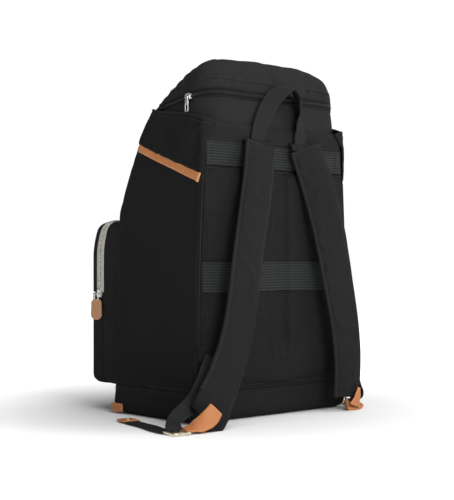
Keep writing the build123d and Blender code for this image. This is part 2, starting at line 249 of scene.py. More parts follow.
def webbing(name, base, pitch=0.0024, across="Y", spec=0.22, rib_shade_contrast=2.0):
    """Ribbed webbing: ribs along its length, with the fine cross weave of the yarns."""
    m, t, b = mat_base(name)
    vec = coords(t, "UV")
    other = "X" if across == "Y" else "Y"
    rib = wave(t, vec, across, 0.5 / pitch, 0.15, 1.0)
    yarn = wave(t, vec, other, 0.5 / 0.0011, 0.4, 2.0)
    big = noise(t, vec, 14.0, 3.0)
    h = math_node(t, "MULTIPLY_ADD", yarn, 0.35, rib)
    lo = tuple(c * 0.45 for c in base)
    hi = tuple(min(1, c * rib_shade_contrast) for c in base)
    # the rib troughs are painted darker and the crests lighter: painted shade between the ribs and painted highlight on
    # the rib crests
    c1 = mixcol(t, rib, lo, hi)
    c2 = mixcol(t, math_node(t, "MULTIPLY", yarn, 0.3), c1, lo)
    c3 = mixcol(t, math_node(t, "MULTIPLY", big, 0.3), c2, tuple(c * 0.7 for c in base))
    t.links.new(c3, b.inputs["Base Color"])
    bump(t, b, h, 0.6, 0.0006)
    set_b(b, Roughness=0.74, Specular_IOR_Level=spec * 0.5, Sheen_Weight=0.0)
    return m


def mesh_cloth(name, base, cell=0.0032, uv="UV"):
    """Spacer mesh: rows of round holes between knitted threads."""
    m, t, b = mat_base(name)
    vec = coords(t, uv)
    v = nd(t, "ShaderNodeTexVoronoi", Scale=1.0 / cell, Randomness=0.12)
    v.feature = "F1"
    t.links.new(vec, v.inputs["Vector"])
    hole = ramp(t, v.outputs["Distance"], [(0.0, (0, 0, 0)), (0.22, (0.02, 0.02, 0.02)), (0.42, (1, 1, 1)), (1.0, (1, 1, 1))])
    big = noise(t, vec, 12.0, 4.0)
    fine = noise(t, vec, 1200.0, 2.0)
    c1 = mixcol(t, big, tuple(c * 0.75 for c in base), tuple(c * 1.3 for c in base))
    # the holes are painted near black: painted shade inside the holes of the mesh
    c2 = mixcol(t, hole, tuple(c * 0.22 for c in base), c1)
    t.links.new(c2, b.inputs["Base Color"])
    h = math_node(t, "MULTIPLY_ADD", fine, 0.3, hole)
    bump(t, b, h, 0.75, 0.0008)
    set_b(b, Roughness=0.86, Specular_IOR_Level=0.09, Sheen_Weight=0.0)
    return m


def leather(name, base, edge=0.55, uv="UV"):
    m, t, b = mat_base(name)
    vec = coords(t, uv)
    v = nd(t, "ShaderNodeTexVoronoi", Scale=1300.0, Randomness=1.0)
    v.feature = "DISTANCE_TO_EDGE"
    t.links.new(vec, v.inputs["Vector"])
    grain = ramp(t, v.outputs["Distance"], [(0.0, (0, 0, 0)), (0.18, (1, 1, 1)), (1.0, (1, 1, 1))])
    big = noise(t, vec, 45.0, 5.0, 0.6)
    pores = noise(t, vec, 2500.0, 2.0)
    c1 = mixcol(t, big, tuple(c * 0.72 for c in base), tuple(min(1, c * 1.22) for c in base))
    c2 = mixcol(t, math_node(t, "MULTIPLY", math_node(t, "SUBTRACT", 1.0, grain), 0.4), c1, tuple(c * edge for c in base))
    t.links.new(c2, b.inputs["Base Color"])
    rr = math_node(t, "MULTIPLY_ADD", big, 0.2, 0.38)
    t.links.new(rr, b.inputs["Roughness"])
    h = math_node(t, "MULTIPLY_ADD", pores, 0.3, grain)
    bump(t, b, h, 0.35, 0.0002)
    set_b(b, Specular_IOR_Level=0.35, Coat_Weight=0.04, Coat_Roughness=0.35)
    return m


def metal(name, base, rough=0.22):
    m, t, b = mat_base(name)
    vec = coords(t, "Object")
    n = noise(t, vec, 420.0, 4.0)
    n2 = noise(t, vec, 90.0, 3.0)
    c = mixcol(t, n2, tuple(c * 0.82 for c in base), base)
    t.links.new(c, b.inputs["Base Color"])
    rr = math_node(t, "MULTIPLY_ADD", n, 0.18, rough - 0.06)
    t.links.new(rr, b.inputs["Roughness"])
    bump(t, b, n, 0.06, 0.0002)
    set_b(b, Metallic=1.0)
    return m


def plastic(name, base, rough=0.5):
    m, t, b = mat_base(name)
    vec = coords(t, "Object")
    n = noise(t, vec, 700.0, 3.0)
    c = mixcol(t, n, tuple(c * 0.85 for c in base), tuple(min(1, c * 1.15) for c in base))
    t.links.new(c, b.inputs["Base Color"])
    bump(t, b, n, 0.15, 0.0002)
    set_b(b, Roughness=rough, Specular_IOR_Level=0.35)
    return m


BLACK = (0.0112, 0.0112, 0.0114)
M = {
    "body": fabric("cloth_body", BLACK),
    # the side copy is the body's black fabric painted darker with less specular, as painted shade on the sides facing
    # away from the light; the lid copy is the same fabric painted lighter, as painted light on the lit top
    "side": fabric("cloth_side_painted_shade", (0.0100, 0.0100, 0.0102), spec=0.05),
    "lid": fabric("cloth_lid_painted_light", (0.0130, 0.0130, 0.0133), spec=0.09),
    "base": fabric("cloth_base", (0.0098, 0.0098, 0.0100), weave=0.0013, spec=0.08),
    "strap": fabric("cloth_strap", (0.0112, 0.0112, 0.0114), weave=0.0010, spec=0.08),
    "binding": fabric("cloth_binding", (0.0135, 0.0135, 0.0137), weave=0.0008, spec=0.1),
    "lining": fabric("cloth_lining", (0.10, 0.10, 0.105), weave=0.0010, spec=0.25, uv="Object"),
    "mesh": mesh_cloth("spacer_mesh", (0.0132, 0.0132, 0.0135)),
    "mesh_o": mesh_cloth("spacer_mesh_pads", (0.0175, 0.0175, 0.0180), uv="Object"),
    "web": webbing("webbing_grey", (0.0190, 0.0205, 0.0198), rib_shade_contrast=1.6),
    "web_dark": webbing("webbing_black", (0.0155, 0.0158, 0.0156), pitch=0.0021, rib_shade_contrast=1.6),
    "band": webbing("webbing_band", (0.0225, 0.0248, 0.0240), pitch=0.0062, rib_shade_contrast=1.35),
    "leather": leather("leather_tan", (0.47, 0.165, 0.046)),
    "leather_pale": leather("leather_pale", (0.56, 0.27, 0.11)),
    "leather_edge": leather("leather_edge", (0.23, 0.085, 0.030)),
    "leather_pull": leather("leather_pull", (0.40, 0.20, 0.105)),
    "cream": webbing("tape_cream", (0.56, 0.54, 0.47), pitch=0.0016, across="Y", spec=0.2, rib_shade_contrast=1.35),
    "tape": webbing("tape_black", (0.009, 0.009, 0.0092), pitch=0.0016, spec=0.15, rib_shade_contrast=1.5),
    "coil": plastic("coil_black", (0.012, 0.012, 0.0125), 0.42),
    "nickel": metal("metal_nickel", (0.78, 0.78, 0.76), 0.24),
    "brass": metal("metal_pale_gold", (0.86, 0.76, 0.55), 0.26),
    "board": plastic("stiff_board", (0.035, 0.035, 0.038), 0.6),
    "thread": plastic("thread_black", (0.022, 0.022, 0.023), 0.6),
    "thread_tan": plastic("thread_tan", (0.62, 0.42, 0.24), 0.6),
    "thread_cream": plastic("thread_cream", (0.62, 0.58, 0.48), 0.6),
}


# =====================================================================================
# mesh builders
# =====================================================================================
def make(name, verts, faces, mat, uvs=None, smooth=True):
    me = bpy.data.meshes.new(name)
    me.from_pydata([tuple(v) for v in np.asarray(verts) * MM], [], faces)
    me.validate()
    if uvs is not None and len(me.polygons) == len(faces):
        uv = me.uv_layers.new(name="UVMap")
        flat = np.asarray(uvs, float)
        idx = np.zeros(len(me.loops), int)
        me.loops.foreach_get("vertex_index", idx)
        uv.data.foreach_set("uv", flat[idx].ravel())
    if smooth:
        me.polygons.foreach_set("use_smooth", [True] * len(me.polygons))
    me.update()
    o = bpy.data.objects.new(name, me)
    bpy.context.scene.collection.objects.link(o)
    o.data.materials.append(M[mat])
    o["slot_key"] = mat
    return o


def grid_uv(P):
    du = np.linalg.norm(np.diff(P, axis=0), axis=2).mean(1)
    dv = np.linalg.norm(np.diff(P, axis=1), axis=2).mean(0)
    U = np.r_[0, np.cumsum(du)] * MM
    V = np.r_[0, np.cumsum(dv)] * MM
    return np.stack(np.meshgrid(U, V, indexing="ij"), 2).reshape(-1, 2)


def quads(nu, nv, cu, cv, off=0, flip=False):
    out = []
    for i in range(nu if cu else nu - 1):
        for j in range(nv if cv else nv - 1):
            a = off + i * nv + j
            b = off + ((i + 1) % nu) * nv + j
            c = off + ((i + 1) % nu) * nv + (j + 1) % nv
            d = off + i * nv + (j + 1) % nv
            out.append((a, d, c, b) if flip else (a, b, c, d))
    return out


def shell(name, P, t, mat, cu=False, cv=False, out=None, inner=None):
    """Closed shell of thickness t behind the grid P. out is a rough outward direction, or None to keep the grid's own side."""
    P = A(P)
    N = grid_normals(P, cu, cv)
    if out is not None:
        ref = out if callable(out) else (lambda q: A(out))
        if np.sum(N * ref(P)) < 0:
            N = -N
            flip = True
        else:
            flip = False
    else:
        flip = False
    nu, nv = P.shape[:2]
    Q = P - N * (t if np.isscalar(t) else t[..., None])
    n = nu * nv
    faces = quads(nu, nv, cu, cv, 0, flip) + quads(nu, nv, cu, cv, n, not flip)
    ring = []
    if not cu:
        for j in range(nv if cv else nv - 1):
            j2 = (j + 1) % nv
            ring.append((j, j2, n + j2, n + j) if not flip else (j2, j, n + j, n + j2))
            a, b2 = (nu - 1) * nv + j, (nu - 1) * nv + j2
            ring.append((b2, a, n + a, n + b2) if not flip else (a, b2, n + b2, n + a))
    if not cv:
        for i in range(nu if cu else nu - 1):
            i2 = (i + 1) % nu
            a, b2 = i * nv, i2 * nv
            ring.append((b2, a, n + a, n + b2) if not flip else (a, b2, n + b2, n + a))
            a, b2 = i * nv + nv - 1, i2 * nv + nv - 1
            ring.append((a, b2, n + b2, n + a) if not flip else (b2, a, n + a, n + b2))
    uv = grid_uv(P)
    o = make(name, np.vstack([P.reshape(-1, 3), Q.reshape(-1, 3)]), faces + ring, mat, np.vstack([uv, uv]))
    if inner:
        o.data.materials.append(M[inner])
        half = len(faces) // 2
        for i in range(half, 2 * half):
            o.data.polygons[i].material_index = 1
    fix_normals(o)
    return o


def slab(name, P, Q, mat):
    """Closed solid between the grid P in front and the grid Q behind it."""
    nu, nv = P.shape[:2]
    n = nu * nv
    faces = quads(nu, nv, False, False, 0) + quads(nu, nv, False, False, n, True)
    for j in range(nv - 1):
        faces.append((j, j + 1, n + j + 1, n + j))
        a = (nu - 1) * nv + j
        faces.append((a + 1, a, n + a, n + a + 1))
    for i in range(nu - 1):
        a, b = i * nv, (i + 1) * nv
        faces.append((b, a, n + a, n + b))
        faces.append((a + nv - 1, b + nv - 1, n + b + nv - 1, n + a + nv - 1))
    uv = grid_uv(P)
    o = make(name, np.vstack([P.reshape(-1, 3), Q.reshape(-1, 3)]), faces, mat, np.vstack([uv, uv]))
    fix_normals(o)
    return o


def fix_normals(o):
    bm = bmesh.new()
    bm.from_mesh(o.data)
    bmesh.ops.recalc_face_normals(bm, faces=bm.faces)
    bm.to_mesh(o.data)
    bm.free()
    o.data.update()


def frames(path, normal):
    """Tangent, normal and width direction along a path; normal is one vector or one per point."""
    p = A(path)
    tan = unit(np.gradient(p, axis=0))
    n = np.broadcast_to(A(normal), p.shape).copy()
    n = unit(n - tan * np.sum(n * tan, 1, keepdims=True))
    w = unit(np.cross(tan, n))
    return tan, n, w


def sweep(name, path, normal, profile, mat, scale=None, taper=None, caps=True, closed=False, raw=False):
    """Sweeps a closed profile of (across, out) points along path. scale is a width factor per point."""
    p = A(path)
    tan, n, w = frames(p, normal)
    prof = A(profile)
    s = np.ones(len(p)) if scale is None else A(scale)
    h = np.ones(len(p)) if taper is None else A(taper)
    P = p[:, None, :] + w[:, None, :] * (prof[None, :, 0:1] * s[:, None, None]) + n[:, None, :] * (prof[None, :, 1:2] * h[:, None, None])
    if raw:
        return P
    return tube(name, P, mat, caps, closed)


def tube(name, P, mat, caps=True, closed=False):
    nu, nv = P.shape[:2]
    faces = quads(nu, nv, closed, True)
    verts = P.reshape(-1, 3)
    per = np.r_[0, np.cumsum(np.linalg.norm(np.diff(np.concatenate([P, P[:, :1]], 1), axis=1), axis=2).mean(0))]
    U = np.r_[0, np.cumsum(np.linalg.norm(np.diff(P.mean(1), axis=0), axis=1))] * MM
    uv = np.stack(np.meshgrid(U, per[:-1] * MM, indexing="ij"), 2).reshape(-1, 2)
    if caps and not closed:
        c0, c1 = P[0].mean(0), P[-1].mean(0)
        verts = np.vstack([verts, c0, c1])
        uv = np.vstack([uv, uv[0], uv[-1]])
        k = nu * nv
        for j in range(nv):
            faces.append((k, (j + 1) % nv, j))
            faces.append((k + 1, (nu - 1) * nv + j, (nu - 1) * nv + (j + 1) % nv))
    o = make(name, verts, faces, mat, uv)
    fix_normals(o)
    return o


def circle(r, n=8, sx=1.0, sy=1.0):
    a = np.linspace(0, 2 * math.pi, n, endpoint=False)
    return np.stack([np.cos(a) * r * sx, np.sin(a) * r * sy], 1)


def rrect(w, t, r, n=3):
    """Rounded rectangle profile, w across and t thick."""
    out = []
    for cx, cy, a0 in ((w / 2 - r, t / 2 - r, 0), (-w / 2 + r, t / 2 - r, 90), (-w / 2 + r, -t / 2 + r, 180), (w / 2 - r, -t / 2 + r, 270)):
        for k in range(n + 1):
            a = math.radians(a0 + 90 * k / n)
            out.append((cx + r * math.cos(a), cy + r * math.sin(a)))
    return A(out)


def piping(name, path, r, mat, closed=False, n=8):
    p = A(path)
    t = unit(np.gradient(p, axis=0))
    ref = A([0.13, 0.31, 0.94])
    nrm = unit(np.cross(t, ref))
    return sweep(name, p, nrm, circle(r, n), mat, caps=not closed, closed=closed)


def stitches(name, path, normal, mat="thread", pitch=3.6, length=2.5, r=0.32, lift=0.1):
    """A row of sewn stitches along a path, each a small rounded grain lying on the surface."""
    p = A(path)
    s = np.r_[0, np.cumsum(np.linalg.norm(np.diff(p, axis=0), axis=1))]
    k = max(1, int(s[-1] / pitch))
    mid = (np.arange(k) + 0.5) * s[-1] / k
    c = np.stack([np.interp(mid, s, p[:, i]) for i in range(3)], 1)
    tan = unit(np.gradient(p, axis=0))
    tt = unit(np.stack([np.interp(mid, s, tan[:, i]) for i in range(3)], 1))
    nn = np.broadcast_to(A(normal), p.shape)
    nn = unit(np.stack([np.interp(mid, s, nn[:, i]) for i in range(3)], 1))
    ww = unit(np.cross(tt, nn))
    nn = np.cross(ww, tt)
    verts, faces = [], []
    prof = [(-0.5, 0.0), (-0.3, 0.8), (0.3, 0.8), (0.5, 0.0)]
    for i in range(k):
        b = len(verts)
        o = c[i] + nn[i] * lift
        verts.append(o - tt[i] * length / 2)
        for f, q in prof[1:3]:
            for a in range(5):
                an = 2 * math.pi * a / 5
                verts.append(o + tt[i] * length * f + (ww[i] * math.cos(an) + nn[i] * math.sin(an)) * r * (q + 0.2))
        verts.append(o + tt[i] * length / 2)
        for a in range(5):
            a2 = (a + 1) % 5
            faces.append((b, b + 1 + a2, b + 1 + a))
            faces.append((b + 1 + a, b + 1 + a2, b + 6 + a2, b + 6 + a))
            faces.append((b + 6 + a, b + 6 + a2, b + 11))
    o = make(name, verts, faces, mat, np.zeros((len(verts), 2)))
    fix_normals(o)
    return o


def subdiv(o, n=1):
    m = o.modifiers.new("sub", "SUBSURF")
    m.levels = m.render_levels = n
    apply_mods(o)
    return o


def apply_mods(o):
    dg = bpy.context.evaluated_depsgraph_get()
    me = bpy.data.meshes.new_from_object(o.evaluated_get(dg), depsgraph=dg)
    o.modifiers.clear()
    old = o.data
    o.data = me
    me.name = o.name
    bpy.data.meshes.remove(old)
    me.polygons.foreach_set("use_smooth", [True] * len(me.polygons))
    return o


def bevel(o, w, seg=2, angle=35):
    m = o.modifiers.new("bev", "BEVEL")
    m.width = w * MM
    m.segments = seg
    m.limit_method = "ANGLE"
    m.angle_limit = math.radians(angle)
    apply_mods(o)
    me = o.data
    me.polygons.foreach_set("use_smooth", [True] * len(me.polygons))
    return o


def finish_piece(o, body, nodes=()):
    if body is not None:
        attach(o, body)
    if nodes:
        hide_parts(*nodes)
    return o


def cloth_grid(P, pin, pressure=0.0, shrink=0.0, frames_n=18, cap=6.0, stiff=15.0, gravity=0.0, mass=0.15, seedp=None):
    """Simulates the grid P (mm) as cloth with some points pinned, and returns the moved grid."""
    nu, nv = P.shape[:2]
    o = make("cloth_tmp", P.reshape(-1, 3), quads(nu, nv, False, False), "body")
    vg = o.vertex_groups.new(name="pin")
    pin = np.asarray(pin, float).ravel()
    for w in np.unique(np.round(pin, 2)):
        if w > 0:
            vg.add([int(i) for i in np.nonzero(np.abs(np.round(pin, 2) - w) < 1e-6)[0]], float(w), "REPLACE")
    m = o.modifiers.new("cloth", "CLOTH")
    s = m.settings
    s.quality = 5
    s.mass = mass
    s.tension_stiffness = s.compression_stiffness = stiff
    s.shear_stiffness = stiff * 0.5
    s.bending_stiffness = 0.6
    s.vertex_group_mass = "pin"
    s.pin_stiffness = 1.0
    s.shrink_min = shrink
    s.use_pressure = pressure != 0
    s.uniform_pressure_force = pressure
    s.effector_weights.gravity = gravity
    m.collision_settings.use_collision = False
    m.point_cache.frame_start = 1
    m.point_cache.frame_end = frames_n
    sc = bpy.context.scene
    for f in range(1, frames_n + 1):
        sc.frame_set(f)
    dg = bpy.context.evaluated_depsgraph_get()
    me = o.evaluated_get(dg).to_mesh()
    co = np.zeros(len(me.vertices) * 3)
    me.vertices.foreach_get("co", co)
    Q = co.reshape(-1, 3) / MM
    o.evaluated_get(dg).to_mesh_clear()
    bpy.data.objects.remove(o, do_unlink=True)
    sc.frame_set(1)
    d = Q - P.reshape(-1, 3)
    if not np.isfinite(d).all():
        return P
    ln = np.linalg.norm(d, axis=1, keepdims=True)
    d = d * np.minimum(1.0, cap / np.maximum(ln, 1e-6))
    return (P.reshape(-1, 3) + d).reshape(P.shape)


def puff(o, voxel=4.0, pressure=4.0, cap=5.0, frames_n=20, sub=1):
    """Remesh a closed solid, blow it up as a cushion, and keep the result."""
    start = [v.co.copy() for v in o.data.vertices]
    m = o.modifiers.new("rm", "REMESH")
    m.mode = "VOXEL"
    m.voxel_size = voxel * MM
    apply_mods(o)
    base = A([v.co for v in o.data.vertices])
    m = o.modifiers.new("cloth", "CLOTH")
    s = m.settings
    s.quality = 5
    s.mass = 0.2
    s.tension_stiffness = s.compression_stiffness = 18
    s.use_pressure = True
    s.uniform_pressure_force = pressure
    s.effector_weights.gravity = 0
    m.collision_settings.use_collision = False
    m.point_cache.frame_start, m.point_cache.frame_end = 1, frames_n
    for f in range(1, frames_n + 1):
        bpy.context.scene.frame_set(f)
    apply_mods(o)
    co = A([v.co for v in o.data.vertices])
    d = co - base
    ln = np.linalg.norm(d, axis=1, keepdims=True)
    d = d * np.minimum(1.0, cap * MM / np.maximum(ln, 1e-9))
    o.data.vertices.foreach_set("co", (base + d).ravel())
    o.data.update()
    bpy.context.scene.frame_set(1)
    m = o.modifiers.new("sm", "SMOOTH")
    m.factor, m.iterations = 0.5, 3
    apply_mods(o)
    if sub:
        subdiv(o, sub)
    return o


# =====================================================================================
# camera, floor and light
# =====================================================================================
cam_data = bpy.data.cameras.new("camera")
cam = bpy.data.objects.new("camera", cam_data)
bpy.context.scene.collection.objects.link(cam)
cam.location = (1.154, 1.269, 0.219)
look = Vector((-0.669, -0.743, 0.0105)).normalized()
cam.rotation_euler = look.to_track_quat("-Z", "Y").to_euler()
cam_data.lens = 82.8
cam_data.sensor_width = 36.0
cam_data.clip_end = 60
bpy.context.scene.camera = cam

sc = bpy.context.scene
try:
    sc.view_settings.view_transform = "Standard"
    sc.view_settings.look = "None"
except TypeError:
    pass

world = bpy.data.worlds.new("studio")
sc.world = world
world.use_nodes = True
wt = world.node_tree
wt.nodes["Background"].inputs[0].default_value = (1, 1, 1, 1)
wt.nodes["Background"].inputs[1].default_value = 0.27
bright = wt.nodes.new("ShaderNodeBackground")
bright.inputs[0].default_value = (1, 1, 1, 1)
bright.inputs[1].default_value = 1.02
pick = wt.nodes.new("ShaderNodeMixShader")
ray = wt.nodes.new("ShaderNodeLightPath")
wt.links.new(ray.outputs["Is Camera Ray"], pick.inputs[0])
wt.links.new(wt.nodes["Background"].outputs[0], pick.inputs[1])
wt.links.new(bright.outputs[0], pick.inputs[2])
wt.links.new(pick.outputs[0], wt.nodes["World Output"].inputs[0])


def area(name, loc, aim, size, power, color=(1, 1, 1)):
    ld = bpy.data.lights.new(name, "AREA")
    ld.shape = "RECTANGLE"
    ld.size, ld.size_y = size
    ld.energy = power
    ld.color = color
    o = bpy.data.objects.new(name, ld)
    sc.collection.objects.link(o)
    o.location = loc
    o.rotation_euler = (Vector(aim) - Vector(loc)).to_track_quat("-Z", "Y").to_euler()
    return o


area("key", (0.55, 2.6, 1.35), (0, 0.05, 0.25), (1.5, 1.5), 60)
area("side", (-1.7, 1.5, 1.3), (0, 0.05, 0.25), (1.0, 1.4), 19)
area("top", (-0.2, 0.3, 2.3), (0, 0, 0.3), (1.4, 1.4), 25)

bm = bmesh.new()
bmesh.ops.create_grid(bm, x_segments=8, y_segments=8, size=9.0)
me = bpy.data.meshes.new("floor")
bm.to_mesh(me)
bm.free()
floor = bpy.data.objects.new("floor", me)
floor.location = (0, 0, -0.0004)
sc.collection.objects.link(floor)
fm, ft, fb = mat_base("floor_white")
fn = noise(ft, coords(ft, "Object"), 3.0, 2.0)
ft.links.new(mixcol(ft, fn, (0.81, 0.81, 0.81), (0.83, 0.83, 0.83)), fb.inputs["Base Color"])
set_b(fb, Roughness=0.9, Specular_IOR_Level=0.0)
fb.inputs["Emission Color"].default_value = (1, 1, 1, 1)
# the floor glows less close to the bag, so that the bag's own shade shows there
far = ft.nodes.new("ShaderNodeVectorMath")
far.operation = "LENGTH"
ft.links.new(coords(ft, "Object"), far.inputs[0])
glow = ft.nodes.new("ShaderNodeMapRange")
glow.interpolation_type = "SMOOTHSTEP"
for key, val in (("From Min", 0.18), ("From Max", 0.75), ("To Min", 0.0), ("To Max", 0.92)):
    glow.inputs[key].default_value = val
ft.links.new(far.outputs["Value"], glow.inputs["Value"])
ft.links.new(glow.outputs["Result"], fb.inputs["Emission Strength"])
me.materials.append(fm)


# =====================================================================================
# the body's shape (mm)
# =====================================================================================
R_FRONT, R_BACK = 9.0, 3.0
HW_Z = [0, 12, 44, 128, 219, 353, 409, 440]
HW_X = [151, 154, 154, 149, 147, 141, 138.5, 138]


def hw(z):
    return cint(z, HW_Z, HW_X)


def yf(z):
    return cint(z, [0, 150, 286, 310, 335, 383, 415, 434], [-92.5, -92.5, -94.5, -88.0, -78.0, -56.5, -37.5, -23.0])


def side_path(d, z, r=R_FRONT, extra=0.0, rb=3.0):
    """Point at distance d (0..1) from the seam on the back, round the rear corner, along the side and round the front corner."""
    z = np.asarray(z, float)
    x0, y0 = hw(z) + extra, yf(z) - extra * 0.5
    lr = math.pi / 2 * rb
    ls = lr + 92.8 - rb - (y0 + r)
    la = math.pi / 2 * r
    s = d * (ls + la)
    a = np.clip((s - ls) / r, 0, math.pi / 2)
    b = np.clip(s / rb, 0, math.pi / 2)
    x = np.where(s < lr, x0 - rb + rb * np.sin(b), np.where(s < ls, x0, x0 - r + r * np.cos(a)))
    y = np.where(s < lr, 92.8 - rb + rb * np.cos(b), np.where(s < ls, 92.8 - rb - (s - lr), y0 + r - r * np.sin(a)))
    return np.stack([x, y, z + 0 * x], -1)


def mouth_z(y):
    return 392.5 + (y + 56) * (334.0 - 388.5) / (89.5 + 56)


def mouth_of(d):
    z = np.full_like(d, 360.0)
    for _ in range(12):
        z = mouth_z(side_path(d, z)[..., 1])
    return z


def flip_x(P):
    Q = A(P).copy()
    Q[..., 0] *= -1
    return Q


def out_from_axis(q):
    v = q.copy()
    v[..., 2] = 0
    return v


# ------------------------------------------------------------------ side pockets
def side_pocket(sign, tag):
    nu, nv = ((44, 72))
    d = np.linspace(0, 1, nu)
    zm = mouth_of(d)
    v = np.linspace(0, 1, nv)
    D = np.repeat(d[:, None], nv, 1)
    Z = 43 + v[None, :] * (zm[:, None] - 43)
    P = side_path(D, Z)
    ts = np.clip(D / 0.86, 0, 1)
    bulge = 6.2 * np.sin(math.pi * ts) ** 0.62 * np.sin(math.pi * np.clip(v[None, :], 0, 1)) ** 0.5
    P[..., 0] += bulge
    if sign < 0:
        P = flip_x(P)
    pin = np.zeros((nu, nv))
    pin[0, :] = pin[-1, :] = 1
    pin[:, 0] = 1
    pin[:, -1] = 1
    seed = 3 if sign > 0 else 4
    soft = wave_noise(P * A([1, 1, 0.45]), 120, seed) * 0.7 * np.minimum(1, np.minimum(D, 1 - D) * 9) * np.sin(math.pi * v[None, :]) ** 0.5
    P[..., 0] += sign * soft
    P = cloth_grid(P, pin, pressure=1.2, shrink=-0.006, cap=2.5, stiff=16)
    # pulled folds that run down from the mouth and gather over the base seam
    fold = np.sin(D * 41 + 2.0 * v[None, :] + seed) * np.exp(-((v[None, :]) / 0.10) ** 2) * 0.55
    P[..., 0] += sign * fold * np.minimum(1, D * 10)
    o = shell(f"side_pocket_cloth_{tag}", P, 2.0, "side", out=out_from_axis)
    subdiv(o, 1)
    finish_piece(o, "root", (f"side_pocket_{tag}",))
    N = grid_normals(P)
    if np.sum(N[..., 0]) * sign < 0:
        N = -N
    return P, N


def binding(sign, tag, P, N):
    """Leather folded over the pocket's mouth, sewn through with a row of stitches."""
    path, nrm = P[:, -1].copy(), N[:, -1].copy()
    down = unit(P[:, -4] - P[:, -1])
    path, k = resample(path, 60), np.linspace(0, 1, 60)
    src = np.linspace(0, 1, len(nrm))
    nrm = unit(np.stack([np.interp(k, src, nrm[:, i]) for i in range(3)], 1))
    down = unit(np.stack([np.interp(k, src, down[:, i]) for i in range(3)], 1))
    first = int(np.argmax(path[:, 1] < 91.0))
    keep = slice(first, 55)
    path, nrm, down = path[keep], nrm[keep], down[keep]
    # cross-section: (down, out) round the edge, a hair thicker at its folded top
    prof = A([(11.4, 0.5), (11.2, 1.3), (10.2, 1.75), (6, 1.95), (2, 2.0), (-0.6, 1.7), (-1.7, 0.4), (-1.9, -1.1), (-1.3, -2.8),
              (0.6, -3.6), (4, -3.7), (8.6, -3.5), (9.0, -3.0), (8.6, -2.4), (4, -2.3), (1.2, -2.0), (0.6, -1.0), (0.8, 0.2), (5, 0.3)])
    n = len(path)
    wob = 0.25 * np.sin(np.linspace(0, 19, n))[:, None]
    R = path[:, None] + down[:, None] * prof[None, :, 0:1] + nrm[:, None] * (prof[None, :, 1:2] + wob[:, None] * 0.5)
    o = tube(f"pocket_binding_{tag}", R, "leather")
    subdiv(o, 1)
    finish_piece(o, "root", (f"side_pocket_trim_{tag}",))
    row = path + down * 9.2 + nrm * 1.95
    finish_piece(stitches(f"pocket_binding_thread_{tag}", row, nrm, "thread_tan", 3.4, 2.3, 0.33), "root")
    row = path + down * 0.4 + nrm * 2.05
    finish_piece(stitches(f"pocket_binding_thread_top_{tag}", row, nrm, "thread_tan", 3.4, 2.3, 0.28), "root")
    # painted edge at the end that meets the back seam
    e0 = path[0] + down[0] * 4.8 + nrm[0] * 0.6
    cap = sweep(f"pocket_binding_end_{tag}", np.stack([e0 + unit(path[1] - path[0]) * (-0.4), e0 + unit(path[1] - path[0]) * 2.6]),
                nrm[0], rrect(13.4, 4.4, 1.2), "leather_pale")
    bevel(cap, 0.4)
    finish_piece(cap, "root")


for sgn, tg in ((1, "left"), (-1, "right")):
    Pp, Np = side_pocket(sgn, tg)
    binding(sgn, tg, Pp, Np)
    if tg == "left":
        POCKET_L = (Pp, Np)


# ------------------------------------------------------------------ side collars above the pockets
def collar_top(y):
    return cint(y, [-30, -20, 0, 30, 70, 92.5, 110], [437, 436, 431, 427, 421.5, 415, 411])


